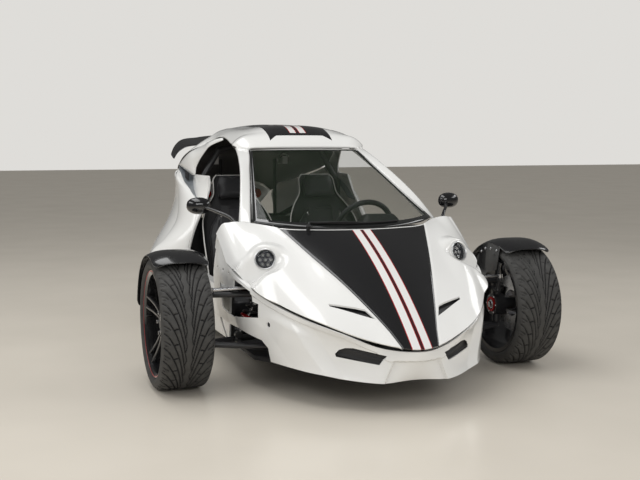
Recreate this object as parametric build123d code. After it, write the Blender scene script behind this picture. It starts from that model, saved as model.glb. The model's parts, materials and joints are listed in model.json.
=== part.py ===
"""Three wheeled car: two steered wheels in front, one driven wheel behind, open sided two seat cabin.

Millimetres. +X is the car's left, +Y points to the rear, +Z is up. Stations are written from the front
axle (its ground point is x 0, y 0, z 0), and every piece is moved by CENTRE_SHIFT when it is written, so
that the finished car stands with the middle of its outline on the origin.
"""
import os
from math import atan2, cos, degrees, hypot, pi, radians, sin

from build123d import *

# Driving sizes
WHEELBASE = 2400.0
TRACK = 1812.0
NOSE_REACH = 830.0
REAR_GUARD_R = 360.0
TAIL_REACH = WHEELBASE + REAR_GUARD_R
FRONT_TYRE_D = 630.0
FRONT_TYRE_W = 245.0
REAR_TYRE_D = 664.0
REAR_TYRE_W = 295.0
FRONT_RIM_R = 256.0
REAR_RIM_R = 250.0
RIM_LIP = 12.0
BODY_WALL = 8.0
GLASS_DEEP = 12.0
PANEL_GAP = 4.0
SEAT_GAP = 0.3
FLOOR_Z = 135.0
FLOOR_WALL = 20.0
CABIN_HALF = 555.0
SILL_TOP = 430.0
SEAT_X = 275.0
TUBE_D = 38.0

CENTRE_SHIFT = (NOSE_REACH - TAIL_REACH) / 2
OUT = "parts"


def write(name, *solids):
    """One sub-part file, moved into the car's own frame."""
    flat = []
    for solid in solids:
        flat += list(solid.solids())
    piece = flat[0] if len(flat) == 1 else Compound(children=flat)
    piece = Pos(0, CENTRE_SHIFT, 0) * piece
    export_step(piece, os.path.join(OUT, name + ".step"))


def both_sides(shape):
    """The piece and its mirror image across the car's middle plane."""
    return [shape, mirror(shape, about=Plane.YZ)]


def rod(start, end, diameter):
    """Round bar between two points."""
    a, b = Vector(*start), Vector(*end)
    plane = Plane(origin=a, z_dir=(b - a).normalized())
    return extrude(plane * Circle(diameter / 2), (b - a).length)


def ring_x(profile, centre):
    """Revolve an (x, radius) outline about a lateral axis through the centre."""
    face = make_face(Polyline(*[(x, r, 0) for x, r in profile], close=True))
    face = Plane(origin=(0, 0, 0), x_dir=(1, 0, 0), z_dir=(0, -1, 0)) * face
    return Pos(*centre) * revolve(face, Axis.X, 360)


def arcs(points):
    """Arcs through each run of three points, which share their end points."""
    edges = []
    for k in range(0, len(points) - 1, 2):
        a, b, c = points[k:k + 3]
        edges.append(Edge.make_three_point_arc(a, b, c))
    return edges


def skin(stations, wall, inside, ruled=False):
    """Thin wall lofted through planar stations.

    Each station is (points, plane normal): points lie on the outer face, and the wall goes towards
    the inside point, measured in the station's own plane.
    """
    wires = []
    for points, normal in stations:
        outer = [Vector(*p) for p in points]
        across = Vector(*normal).normalized()
        inner = []
        for k, p in enumerate(outer):
            before = outer[max(k - 1, 0)]
            after = outer[min(k + 1, len(outer) - 1)]
            side = (after - before).cross(across).normalized()
            if side.dot(Vector(*inside) - p) < 0:
                side = side * -1
            inner.append(p + side * wall)
        edges = arcs(outer) + [Edge.make_line(outer[-1], inner[-1])]
        edges += arcs(inner[::-1]) + [Edge.make_line(inner[0], outer[0])]
        wires.append(Wire(edges))
    return Solid.make_loft(wires, ruled)


def quad_loft(stations, ruled=True):
    """Bar of four sided section lofted through the stations' corners."""
    wires = [Wire.make_polygon([Vector(*p) for p in corners], close=True) for corners in stations]
    return Solid.make_loft(wires, ruled)


def under(post, shell):
    """The stretch of an upright post below a shell, ending the seat gap under it."""
    return Pos(0, 0, -SEAT_GAP) * min((post - shell).solids(), key=lambda s: s.center().Z)


def above(post, shell):
    """The stretch of an upright post above a shell, starting the seat gap over it."""
    return Pos(0, 0, SEAT_GAP) * max((post - shell).solids(), key=lambda s: s.center().Z)


# Wheels

def tyre(centre, diameter, width, rim_r):
    """Hollow tyre whose beads sit on the rim's seats."""
    top, bead, half = diameter / 2, rim_r - RIM_LIP, width / 2
    belly = rim_r + 0.3 * (top - rim_r)
    crown, lug = half - 32, 4.0
    edges = [Edge.make_three_point_arc((-crown, 0, top - lug), (0, 0, top), (crown, 0, top - lug)),
             Edge.make_three_point_arc((crown, 0, top - lug), (half - 12, 0, top - 10), (half - 3, 0, top - 25)),
             Edge.make_three_point_arc((half - 3, 0, top - 25), (half, 0, belly), (half - 8, 0, rim_r + 4)),
             Edge.make_line((half - 8, 0, rim_r + 4), (half - 18, 0, rim_r + 1)),
             Edge.make_line((half - 18, 0, rim_r + 1), (half - 18, 0, bead)),
             Edge.make_line((half - 18, 0, bead), (half - 32, 0, bead)),
             Edge.make_three_point_arc((half - 32, 0, bead), (half - 15, 0, belly), (crown - 6, 0, top - 20))]
    ring = [edges[0]]
    for edge in edges[1:]:
        ring += [edge, edge.mirror(Plane.YZ)]
    ring.append(Edge.make_line((crown - 6, 0, top - 20), (-crown + 6, 0, top - 20)))
    face = Face(Wire.combine(ring)[0])
    return Pos(*centre) * revolve(face, Axis.X, 360)


def rim(centre, rim_r, width, out, spokes, face_at):
    """Barrel with two lips, a hub and paired spokes; out is +1 where the wheel's face looks to +X."""
    half, seat, wall = width / 2 - 18 + SEAT_GAP, rim_r - RIM_LIP - SEAT_GAP, 9.0
    barrel = ring_x([(-half - 6, seat - wall), (-half - 6, rim_r), (-half, rim_r), (-half, seat),
                     (half, seat), (half, rim_r), (half + 6, rim_r), (half + 6, seat - wall)],
                    (0, 0, 0))
    hub_r, hub_bore, thick = 74.0, 31.0, 26.0
    hub = ring_x([(face_at - thick, hub_bore), (face_at, hub_bore), (face_at, hub_r - 8),
                  (face_at - 8, hub_r), (face_at - thick, hub_r)], (0, 0, 0))
    body = barrel + hub
    root, tip = hub_r - 12, seat - wall + 3
    for k in range(spokes):
        for lean in (-1, 1):
            foot, head = lean * 9.0, lean * 26.0
            spoke = quad_loft([
                [(face_at - thick, foot - 9, root), (face_at - thick, foot + 9, root),
                 (face_at - 2, foot + 7, root), (face_at - 2, foot - 7, root)],
                [(face_at - 16, head - 12, tip), (face_at - 16, head + 12, tip),
                 (face_at + 16, head + 8, tip), (face_at + 16, head - 8, tip)]])
            body += Rot(k * 360 / spokes, 0, 0) * spoke
    if out < 0:
        body = mirror(body, about=Plane.YZ)
    return Pos(*centre) * body


def disc(centre, out, radius, at, hub_face):
    """Brake disc with its hat, whose face bolts to the back of the wheel's hub."""
    hat, bore = 78.0, 31.0
    piece = ring_x([(at - 11, radius), (at + 11, radius), (at + 11, hat), (hub_face, hat), (hub_face, bore),
                    (hub_face - 8, bore), (hub_face - 8, hat - 8), (at - 11, hat - 8)], (0, 0, 0))
    if out < 0:
        piece = mirror(piece, about=Plane.YZ)
    return Pos(*centre) * piece


AXLE_X = TRACK / 2
FRONT_R = FRONT_TYRE_D / 2
REAR_R = REAR_TYRE_D / 2
FRONT_FACE = 72.0
HUB_THICK = 26.0
DISC_R = 150.0
DISC_AT = 6.0


def front_wheel(side):
    """Tyre, rim and disc of one front wheel; side is +1 on the car's left."""
    centre = (side * AXLE_X, 0, FRONT_R)
    name = "left" if side > 0 else "right"
    write("tyre_front_" + name, tyre(centre, FRONT_TYRE_D, FRONT_TYRE_W, FRONT_RIM_R))
    write("rim_front_" + name, rim(centre, FRONT_RIM_R, FRONT_TYRE_W, side, 5, FRONT_FACE))
    write("disc_front_" + name, disc(centre, side, DISC_R, DISC_AT, FRONT_FACE - HUB_THICK))


# Front suspension and steering

STUB_D = 60.0
KINGPIN_IN = 94.0
KINGPIN_LOW = (AXLE_X - KINGPIN_IN, 0.0, 205.0)
KINGPIN_TOP = (AXLE_X - KINGPIN_IN, 0.0, 440.0)
ARM_TUBE = 26.0
CROSS_D = 24.0
SHOCK_Y = 40.0
SHOCK_EYE_D = 38.0
LOW_RAIL = (330.0, 190.0)
TOP_RAIL = (374.0, 445.0)
SHOCK_RAIL = (374.0, 590.0)
RAIL_D = 30.0
BUSH_D = 42.0
PIVOT_OUT = (RAIL_D + BUSH_D) / 2 + SEAT_GAP
LOW_PIVOTS = tuple((LOW_RAIL[0] + PIVOT_OUT, y, LOW_RAIL[1]) for y in (-170.0, 190.0))
TOP_PIVOTS = tuple((TOP_RAIL[0] + PIVOT_OUT, y, TOP_RAIL[1]) for y in (-110.0, 160.0))
TIE_PIVOT = (KINGPIN_LOW[0] - 48.0, -118.0, 464.0)
RACK_END_X = 300.0
RACK_AT = (0.0, -130.0, 492.0)
RACK_D = 22.0
TIE_RISE = 16.0
JOINT_BALL = 34.0


GUARD_GAP = 24.0
GUARD_WALL = 4.0
GUARD_FRONT = 36.0
GUARD_REAR = 84.0
GUARD_HALF = 128.0
GUARD_FEET = (64.0, 104.0)
GUARD_FOOT_Z = 78.0


def knuckle(side):
    """Upright with its stub axle, ball joint bosses, steering arm, caliper and the mudguard it carries."""
    name = "left" if side > 0 else "right"
    low, top = Vector(*KINGPIN_LOW), Vector(*KINGPIN_TOP)
    axis = (top - low).normalized()
    reach = JOINT_BALL / 2 + SEAT_GAP
    post = rod(tuple(low + axis * reach), tuple(top - axis * reach), 44)
    centre = Vector(AXLE_X, 0, FRONT_R)
    stub = rod((KINGPIN_LOW[0] - 26, 0, FRONT_R), (AXLE_X + FRONT_FACE - HUB_THICK - 14, 0, FRONT_R), STUB_D)
    stub += rod((AXLE_X + FRONT_FACE - HUB_THICK - 20, 0, FRONT_R), (AXLE_X + FRONT_FACE - 4, 0, FRONT_R), 61.9)
    hub = rod((KINGPIN_LOW[0] - 30, 0, FRONT_R), (KINGPIN_LOW[0] + 30, 0, FRONT_R), 112)
    arm_foot = (KINGPIN_LOW[0] - 14, 0, TIE_PIVOT[2] - 74)
    arm_knee = (TIE_PIVOT[0] + 4, TIE_PIVOT[1] + 30, TIE_PIVOT[2] - 60)
    arm = rod(arm_foot, arm_knee, 24) + Pos(*arm_knee) * Sphere(13)
    arm += rod(arm_knee, (TIE_PIVOT[0], TIE_PIVOT[1] + 8, TIE_PIVOT[2] - 4), 20)
    eye = Pos(TIE_PIVOT[0], TIE_PIVOT[1], TIE_PIVOT[2]) * (Cylinder(15, 12) - Cylinder(7, 12))
    upright = post + hub + stub + arm + eye
    caliper_arc = 150.0
    caliper = ring_x([(DISC_AT - 32, DISC_R - 52), (DISC_AT + 32, DISC_R - 52), (DISC_AT + 32, DISC_R + 16),
                      (DISC_AT - 32, DISC_R + 16)], (0, 0, 0))
    caliper -= ring_x([(DISC_AT - 15, 60), (DISC_AT + 15, 60), (DISC_AT + 15, DISC_R + 5),
                       (DISC_AT - 15, DISC_R + 5)], (0, 0, 0))
    caliper &= Pos(0, caliper_arc / 2 + 50, 0) * Box(200, 100, caliper_arc)
    caliper = Pos(*centre) * caliper
    ear_x = AXLE_X + DISC_AT - 30
    upright += rod((KINGPIN_LOW[0], 20, FRONT_R), (ear_x - 30, 118, FRONT_R), 28)
    upright += rod((ear_x - 42, 118, FRONT_R), (ear_x, 118, FRONT_R), 32)
    foot_z = FRONT_R + GUARD_FOOT_Z
    for y in GUARD_FEET:
        upright += rod((AXLE_X - GUARD_HALF + SEAT_GAP, y, foot_z), (KINGPIN_LOW[0] + 15, y, foot_z), 22)
    upright += rod((KINGPIN_LOW[0], 0, foot_z), (KINGPIN_LOW[0], GUARD_FEET[1], foot_z), 20)
    upright += Pos(KINGPIN_LOW[0], GUARD_FEET[1], foot_z) * Sphere(12)
    upright += caliper
    if side < 0:
        upright = mirror(upright, about=Plane.YZ)
    write("upright_" + name, upright)
    write("mudguard_" + name, mudguard(side))


def mudguard(side):
    """Cycle mudguard over the tyre, with a turned down rim and the stay that bolts to the upright."""
    inner = FRONT_R + GUARD_GAP
    crown = inner + 10
    half, wall = GUARD_HALF, GUARD_WALL
    section = Polyline((-half - wall, inner - 16), (-half - wall, inner - 12), (-half + 6, inner), (0, crown),
                       (half - 6, inner), (half + wall, inner - 12), (half + wall, inner - 16),
                       (half, inner - 16), (half - 8, inner - wall), (0, crown - wall),
                       (-half + 8, inner - wall), (-half, inner - 16), close=True)
    face = make_face(section)
    face = Plane(origin=(0, 0, 0), x_dir=(1, 0, 0), z_dir=(0, -1, 0)) * face
    shell = revolve(Rot(GUARD_FRONT, 0, 0) * face, Axis.X, -(GUARD_FRONT + GUARD_REAR))
    front, back = GUARD_FEET
    stay = make_face(Polyline((-95, inner - 30), (-62, 190), (front - 34, 168), (front - 4, 150),
                              (front - 4, 104), (front - 18, 92), (front - 18, 60), (back + 18, 60),
                              (130, inner - 42), (60, inner - 22), (0, inner - 14), close=True))
    stay_plane = Plane(origin=(-GUARD_HALF - GUARD_WALL, 0, 0), x_dir=(0, 1, 0), z_dir=(1, 0, 0))
    shell += extrude(stay_plane * stay, GUARD_WALL)
    shell = Pos(AXLE_X, 0, FRONT_R) * shell
    if side < 0:
        shell = mirror(shell, about=Plane.YZ)
    return shell


def wishbone(pivots, tip, spread=ARM_TUBE):
    """Two tubes from the chassis pivots to the ball joint, with a cross tube and end bushes."""
    body = Pos(*tip) * Sphere(JOINT_BALL / 2)
    for pivot in pivots:
        body += rod(pivot, tip, spread)
        body += rod((pivot[0], pivot[1] - 24, pivot[2]), (pivot[0], pivot[1] + 24, pivot[2]), BUSH_D)
    mids = [tuple((p + t) / 2 for p, t in zip(pivot, tip)) for pivot in pivots]
    body += rod(mids[0], mids[1], CROSS_D)
    return body


def coilover():
    """Damper with its spring drawn as ribs on one turned body."""
    low_mid = (LOW_PIVOTS[0][0] + KINGPIN_LOW[0]) / 2, (LOW_PIVOTS[0][2] + KINGPIN_LOW[2]) / 2
    foot = Vector(low_mid[0], SHOCK_Y, low_mid[1] + (CROSS_D + SHOCK_EYE_D) / 2 + SEAT_GAP)
    reach = (RAIL_D + SHOCK_EYE_D) / 2 + SEAT_GAP
    head = Vector(SHOCK_RAIL[0] + reach * 0.85, SHOCK_Y, SHOCK_RAIL[1] - reach * 0.527)
    axis = (head - foot).normalized()
    length = (head - foot).length
    spring_r, wire = 34.0, 11.0
    start, end = 0.26 * length, 0.86 * length
    count = 8
    pitch = (end - start) / count
    outline = [(0, 0), (13, 0), (13, start), (spring_r + 4, start)]
    for k in range(count):
        z = start + k * pitch
        outline += [(spring_r + wire / 2, z + pitch * 0.25), (spring_r + wire / 2, z + pitch * 0.55),
                    (spring_r - 8, z + pitch * 0.8)]
    outline += [(spring_r + 4, end), (22, end + 6), (22, length), (0, length)]
    face = Plane.XZ * make_face(Polyline(*outline, close=True))
    body = revolve(face, Axis.Z, 360)
    plane = Plane(origin=foot, z_dir=axis)
    body = plane.location * body
    for at in (foot, head):
        body += Pos(*at) * (Rot(90, 0, 0) * Cylinder(SHOCK_EYE_D / 2, 34))
    return body


def front_suspension():
    """Wishbones and coil-overs of both sides."""
    upper = wishbone(TOP_PIVOTS, KINGPIN_TOP)
    lower = wishbone(LOW_PIVOTS, KINGPIN_LOW, ARM_TUBE + 4)
    write("wishbones", *both_sides(upper), *both_sides(lower))
    write("front_coilovers", *both_sides(coilover()))


def steering():
    """Rack with its tie rods, the housing on the floor, the column and the steering wheel."""
    bar = rod((-RACK_END_X, RACK_AT[1], RACK_AT[2]), (RACK_END_X, RACK_AT[1], RACK_AT[2]), RACK_D)
    for side in (-1, 1):
        end = (side * TIE_PIVOT[0], TIE_PIVOT[1], TIE_PIVOT[2] + TIE_RISE)
        bar += rod((side * RACK_END_X, RACK_AT[1], RACK_AT[2]), end, 18)
        bar += Pos(*end) * Cylinder(14, 2 * (TIE_RISE - 6 - SEAT_GAP))
    write("steering_rack", bar)
    housing = rod((-200, RACK_AT[1], RACK_AT[2]), (200, RACK_AT[1], RACK_AT[2]), 58)
    housing += rod((190, RACK_AT[1], RACK_AT[2]), (240, RACK_AT[1], RACK_AT[2]), 72)
    housing -= rod((-210, RACK_AT[1], RACK_AT[2]), (260, RACK_AT[1], RACK_AT[2]), RACK_D + 3)
    return housing


WHEEL_CENTRE = (270.0, 550.0, 690.0)
WHEEL_TILT = 25.0
WHEEL_R = 160.0
GRIP_D = 30.0
SHAFT_END = 80.0
COLUMN_D = 54.0
COLUMN_LONG = 340.0


def wheel_plane():
    """Plane of the steering wheel; its normal points along the column towards the driver."""
    tilt = radians(WHEEL_TILT)
    return Plane(origin=WHEEL_CENTRE, x_dir=(1, 0, 0), z_dir=(0, cos(tilt), sin(tilt)))


def steering_wheel():
    """Rim with three spokes and a hub."""
    plane = wheel_plane()
    ring = Torus(WHEEL_R, GRIP_D / 2)
    hub = Pos(0, 0, -14) * Cylinder(46, 24)
    body = ring + hub
    for angle in (180, 0, 270):
        spoke = Pos(WHEEL_R / 2 + 10, 0, -6) * Box(WHEEL_R - 36, 34, 7)
        body += Rot(0, 0, angle) * spoke
    body += Pos(0, 0, -SHAFT_END / 2) * Cylinder(17, SHAFT_END)
    return plane.location * body


def column():
    """Column tube from behind the wheel down to the dash."""
    plane = wheel_plane()
    middle = -(SHAFT_END + SEAT_GAP + COLUMN_LONG / 2)
    tube = plane.location * (Pos(0, 0, middle) * Cylinder(COLUMN_D / 2, COLUMN_LONG))
    low = plane.origin - plane.z_dir * (SHAFT_END + COLUMN_LONG - 10)
    joint = Vector(215.0, RACK_AT[1] + 44, RACK_AT[2] + 4)
    link = rod(tuple(low), tuple(joint), 22) + Pos(*joint) * Sphere(12)
    link += rod(tuple(joint), (215.0, RACK_AT[1] + 16, RACK_AT[2] + 4), 22)
    return tube + link


# Body panels

def mirrored(rows):
    """Rows for both sides of the car from the rows of its left side, the middle row once."""
    right = [[(-x, y, z) for x, y, z in row] for row in rows[:0:-1]]
    return right + rows


# Hood, one row per distance from the middle plane: x, then front edge, middle and rear edge as (y, z)
HOOD = [
    (0.0, (-830.0, 285.0), (-487.0, 542.0), (-95.0, 740.0)),
    (212.0, (-737.0, 318.0), (-490.0, 502.0), (-65.0, 741.0)),
    (360.0, (-635.0, 372.0), (-260.0, 600.0), (-8.0, 745.0)),
    (507.0, (-420.0, 437.0), (-162.0, 626.0), (135.0, 764.0)),
    (600.0, (-250.0, 500.0), (-40.0, 640.0), (160.0, 757.0)),
    (650.0, (20.0, 590.0), (100.0, 650.0), (195.0, 705.0)),
]
# Edge of the hood between the wings, from the nose to the cowl, in plan: x, y
HOOD_EDGE = [(72.0, -850.0), (112.0, -731.0), (159.0, -613.0), (207.0, -490.0), (257.0, -360.0),
             (308.0, -222.0), (353.0, -93.0), (388.0, 9.0), (404.0, 60.0)]
LAMP_AT = (507.0, -150.0, 620.0)
LAMP_D = 104.0
LAMP_AIM = (0.34, -0.90, 0.28)


def lamp_plane(out=0.0):
    """Plane of the left lamp's face, moved outwards along its aim."""
    aim = Vector(*LAMP_AIM).normalized()
    return Plane(origin=Vector(*LAMP_AT) + aim * out, z_dir=aim)


def hood():
    """Upper front shell, pointed in plan, with lamp holes and two slots."""
    rows = [[(x, y, z) for y, z in (front, middle, rear)] for x, front, middle, rear in HOOD]
    stations = [(row, (1, 0, 0)) for row in mirrored(rows)]
    shell = skin(stations, BODY_WALL, (0, 400, -400))
    hole = extrude(lamp_plane(-120) * Circle(LAMP_D / 2 + 1), 240)
    slot = make_face(Polyline((151, -668), (323, -542), (325, -526), (215, -586), (180, -609), close=True))
    slot = extrude(Pos(0, 0, 250) * slot, 400)
    for cut in (hole, slot):
        for piece in both_sides(cut):
            shell -= piece
    return shell


def hood_prism(inset):
    """Upright block over the hood's plan, drawn in from its edge."""
    left = [(x - inset, y) for x, y in HOOD_EDGE]
    outline = left + [(-x, y) for x, y in left[::-1]]
    return extrude(make_face(Polyline(*outline, close=True)), 900)


def headlamps():
    """Lamp bowls with a bezel, and their clear covers."""
    bowl = extrude(lamp_plane(-70) * Circle(LAMP_D / 2), 84)
    bowl -= extrude(lamp_plane(-58) * Circle(LAMP_D / 2 - 7), 90)
    cover = extrude(lamp_plane(2) * Circle(LAMP_D / 2 - 8), 6)
    write("headlamp_bowls", *both_sides(bowl))
    write("headlamp_covers", *both_sides(cover))


# Lower front body, one row per place along the crease: x, y, heading, then (out, z) at top, middle, bottom
NOSE = [
    (0.0, -830.0, 0.0, (0.0, 274.0), (-14.0, 205.0), (-59.0, 129.0)),
    (135.0, -762.0, 22.0, (0.0, 280.0), (8.0, 212.0), (14.0, 132.0)),
    (321.0, -672.0, 36.0, (0.0, 345.0), (-34.0, 250.0), (-14.0, 142.0)),
    (458.0, -504.0, 52.0, (0.0, 398.0), (-12.0, 285.0), (-8.0, 158.0)),
    (560.0, -320.0, 66.0, (0.0, 458.0), (2.0, 320.0), (-22.0, 166.0)),
    (640.0, -120.0, 80.0, (-2.0, 535.0), (-2.0, 350.0), (-58.0, 163.0)),
    (650.0, 60.0, 90.0, (-6.0, 586.0), (-2.0, 370.0), (-62.0, 158.0)),
    (650.0, 285.0, 90.0, (-6.0, 622.0), (-4.0, 390.0), (-66.0, 150.0)),
]


def nose():
    """Lower front shell from the bumper to the cabin's front edge, with the openings for the arms."""
    rows = []
    for x, y, heading, *levels in NOSE:
        turn = radians(heading)
        out = (sin(turn), -cos(turn))
        rows.append(([(x + o * out[0], y + o * out[1], z) for o, z in levels], (cos(turn), sin(turn), 0)))
    half = skin(rows, BODY_WALL, (0, 0, 250), True)
    upper = make_face(Polyline((-180, 395), (-172, 486), (-124, 516), (60, 550), (130, 548), (130, 395),
                               close=True))
    lower = make_face(Polyline((-330, 165), (-330, 230), (150, 285), (260, 285), (260, 165), close=True))
    side = Plane(origin=(400, 0, 0), x_dir=(0, 1, 0), z_dir=(1, 0, 0))
    for window in (upper, lower):
        half -= extrude(side * window, 400)
    intake = make_face(Polyline((165, 213), (318, 234), (322, 252), (300, 273), (268, 274), (137, 250), close=True))
    half -= extrude(Plane(origin=(0, -400, 0), x_dir=(1, 0, 0), z_dir=(0, -1, 0)) * intake, 500)
    return half + mirror(half, about=Plane.YZ)


# Windscreen and roof

SCREEN_BASE = ((489.0, 141.0, 768.0), (0.0, -95.0, 745.0))
SCREEN_TOP = ((318.0, 792.0, 1117.0), (0.0, 772.0, 1121.0))


def windscreen():
    """Curved glass between the cowl and the header."""
    rows = []
    for side, middle in (SCREEN_BASE, SCREEN_TOP):
        rows.append([side, middle, (-side[0], side[1], side[2])])
    wires = []
    for row in rows:
        outer = [Vector(*p) for p in row]
        back = Vector(0, row[0][1] - row[1][1], row[0][2] - row[1][2]).normalized() * GLASS_DEEP
        inner = [p + back for p in outer]
        edges = arcs(outer) + [Edge.make_line(outer[-1], inner[-1])]
        edges += arcs(inner[::-1]) + [Edge.make_line(inner[0], outer[0])]
        wires.append(Wire(edges))
    return Solid.make_loft(wires, True)


# Pillar, one row per station: screen edge, then outer edge
PILLAR = [
    ((493.0, 150.0, 766.0), (540.0, 195.0, 762.0)),
    ((432.0, 373.0, 894.0), (488.0, 362.0, 895.0)),
    ((373.0, 597.0, 1016.0), (421.0, 619.0, 1037.0)),
    ((322.0, 800.0, 1117.0), (378.0, 868.0, 1131.0)),
]
PILLAR_DEEP = 34.0

# Roof, one row per y: half widths and heights from the edge to the middle
ROOF = [
    (868.0, (378.0, 1131.0), (352.0, 1157.0), (290.0, 1178.0), (150.0, 1188.0), (0.0, 1190.0)),
    (950.0, (374.0, 1142.0), (345.0, 1174.0), (270.0, 1210.0), (150.0, 1234.0), (0.0, 1241.0)),
    (1250.0, (364.0, 1182.0), (338.0, 1204.0), (255.0, 1234.0), (150.0, 1256.0), (0.0, 1265.0)),
    (1500.0, (400.0, 1142.0), (362.0, 1187.0), (262.0, 1230.0), (150.0, 1252.0), (0.0, 1262.0)),
]

# Rear deck behind the roof, in the same columns
DECK = [
    (1504.0, (400.0, 1142.0), (362.0, 1187.0), (262.0, 1230.0), (150.0, 1252.0), (0.0, 1262.0)),
    (1620.0, (478.0, 1095.0), (410.0, 1148.0), (300.0, 1206.0), (150.0, 1235.0), (0.0, 1245.0)),
    (1820.0, (505.0, 1010.0), (440.0, 1060.0), (320.0, 1100.0), (160.0, 1120.0), (0.0, 1126.0)),
    (2100.0, (440.0, 930.0), (380.0, 975.0), (270.0, 1015.0), (140.0, 1038.0), (0.0, 1046.0)),
    (2450.0, (290.0, 800.0), (260.0, 830.0), (200.0, 858.0), (110.0, 875.0), (0.0, 880.0)),
]


def cross_rows(table):
    """Full width stations from a table of half sections."""
    stations = []
    for y, *half in table:
        left = [(x, y, z) for x, z in half]
        right = [(-x, y, z) for x, z in half[-2::-1]]
        stations.append((left + right, (0, 1, 0)))
    return stations


def canopy():
    """Pillars, header and roof as one white frame."""
    shell = skin(cross_rows(ROOF), 14.0, (0, 1200, 300))
    brow = []
    for y, half, z, edge in ((807.0, 330.0, 1123.0, 1117.0), (870.0, 350.0, 1188.0, 1158.0)):
        brow.append(([(half, y, edge), (half * 0.8, y, z - 4), (0, y, z),
                      (-half * 0.8, y, z - 4), (-half, y, edge)], (0, 1, 0)))
    shell += skin(brow, 14.0, (0, 1200, 300), True)
    quads = []
    for screen, outer in PILLAR:
        a, b = Vector(*screen), Vector(*outer)
        back = Vector(-0.25, 0.75, -0.6).normalized() * PILLAR_DEEP
        quads.append([tuple(a), tuple(b), tuple(b + back), tuple(a + back)])
    post = quad_loft(quads)
    for piece in both_sides(post):
        shell += piece
    return shell


# Pod wall, one row per level: z at its leading edge, fall per mm to the rear, (x, y) of leading edge, middle, tail
POD = [
    (150.0, 0.0, (640.0, 1290.0), (560.0, 1700.0), (300.0, 2110.0)),
    (300.0, 0.0, (720.0, 1340.0), (640.0, 1750.0), (310.0, 2180.0)),
    (473.0, 0.0, (775.0, 1410.0), (680.0, 1800.0), (310.0, 2280.0)),
    (580.0, 0.0, (690.0, 1385.0), (640.0, 1800.0), (305.0, 2340.0)),
    (681.0, 0.0, (605.0, 1455.0), (580.0, 1820.0), (300.0, 2380.0)),
    (795.0, 0.06, (572.0, 1530.0), (540.0, 1850.0), (295.0, 2400.0)),
    (936.0, 0.2, (558.0, 1700.0), (500.0, 1950.0), (290.0, 2380.0)),
    (996.0, 0.3, (506.0, 1810.0), (465.0, 1990.0), (300.0, 2250.0)),
]

# Door pillar panel in the same columns, its tail inside the scoop
DOOR_PILLAR = [
    (150.0, 0.0, (600.0, 1150.0), (600.0, 1270.0), (575.0, 1480.0)),
    (430.0, 0.0, (598.0, 1175.0), (608.0, 1290.0), (590.0, 1500.0)),
    (521.0, 0.0, (585.0, 1190.0), (600.0, 1290.0), (580.0, 1510.0)),
    (728.0, 0.0, (515.0, 1200.0), (535.0, 1300.0), (520.0, 1540.0)),
    (824.0, 0.0, (475.0, 1200.0), (500.0, 1310.0), (490.0, 1560.0)),
    (960.0, 0.0, (448.0, 1256.0), (465.0, 1360.0), (468.0, 1580.0)),
]


def level_rows(table):
    """Stations for the walls of the pods, level or falling to the rear."""
    stations = []
    for z, fall, *row in table:
        start = row[0][1]
        stations.append(([(x, y, z - fall * (y - start)) for x, y in row], (0, fall, 1)))
    return stations


def pods():
    """Side pods: the outer blade and the door pillar panel, joined by a floor in the scoop."""
    blade = skin(level_rows(POD), BODY_WALL, (0, 1900, 500))
    pillar = skin(level_rows(DOOR_PILLAR), BODY_WALL, (0, 1400, 500))
    floor = make_face(Polyline((595, 1165), (648, 1300), (560, 1690), (540, 1690), (575, 1480), close=True))
    floor = extrude(Pos(0, 0, 146) * floor, 10)
    return blade + pillar + floor


def sills():
    """Low side sills between the front body and the pods."""
    y0, y1 = 285 + PANEL_GAP, 1150 - PANEL_GAP
    quad = []
    for y, wide in ((y0, 625.0), (y1, 630.0)):
        quad.append([(wide - 60, y, 150), (wide, y, SILL_TOP - 60), (wide - 15, y, SILL_TOP),
                     (wide - 70, y, SILL_TOP)])
    solid = quad_loft(quad)
    core = quad_loft([[(p[0] - (8 if k in (1, 2) else -8), p[1], p[2] + (8 if k == 0 else -8))
                       for k, p in enumerate(row)] for row in quad])
    return solid - Pos(0, 0, 0) * core


TUNNEL_FRONT = 262.0
TUNNEL_BACK = 1310.0
TUNNEL_HALF = 46.0


def pod_pegs(pod):
    """Short pegs from the tub's wall out to the left pod, each ending the seat gap before it."""
    pegs = []
    for y, z in ((1240.0, 220.0), (1240.0, 370.0), (1410.0, 220.0)):
        peg = rod((CABIN_HALF - 6, y, z), (CABIN_HALF + 120, y, z), 20) - pod
        pegs.append(Pos(-SEAT_GAP, 0, 0) * min(peg.solids(), key=lambda s: s.center().X))
    return pegs


def tub(pod):
    """Floor pan with side walls, front bulkhead, tunnel and the seat bulkhead."""
    y0, y1, y2 = -420.0, 1440.0, HOOP_Y + 24
    half = CABIN_HALF
    outline = make_face(Polyline((-380, y0), (380, y0), (half, -120), (half, y2), (-half, y2), (-half, -120),
                                 close=True))
    pan = extrude(Pos(0, 0, FLOOR_Z) * outline, FLOOR_WALL)
    wall = make_face(Polyline((half - 12, 290), (half, 290), (half, y1), (half - 12, y1), close=True))
    wall = extrude(Pos(0, 0, FLOOR_Z) * wall, 270)
    for piece in both_sides(wall):
        pan += piece
    wall_face = make_face(Polyline((-half, FLOOR_Z), (half, FLOOR_Z), (half, 470), (496, 695), (-496, 695),
                                   (-half, 470), close=True))
    back = extrude(Plane(origin=(0, y1 - 12, 0), x_dir=(1, 0, 0), z_dir=(0, -1, 0)) * wall_face, -12)
    tunnel = Rectangle(2 * TUNNEL_HALF, TUNNEL_BACK - TUNNEL_FRONT)
    tunnel = extrude(Pos(0, (TUNNEL_FRONT + TUNNEL_BACK) / 2, FLOOR_Z) * tunnel, 150)
    shell = pan + back + tunnel + pedals()
    for peg in pod_pegs(pod):
        for piece in both_sides(peg):
            shell += piece
    start, bend, end = rail_line()
    for notch in both_sides(rod(bend, end, RAIL_D + 12)):
        shell -= notch
    return shell


DASH_UNDER = 705.0


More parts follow.
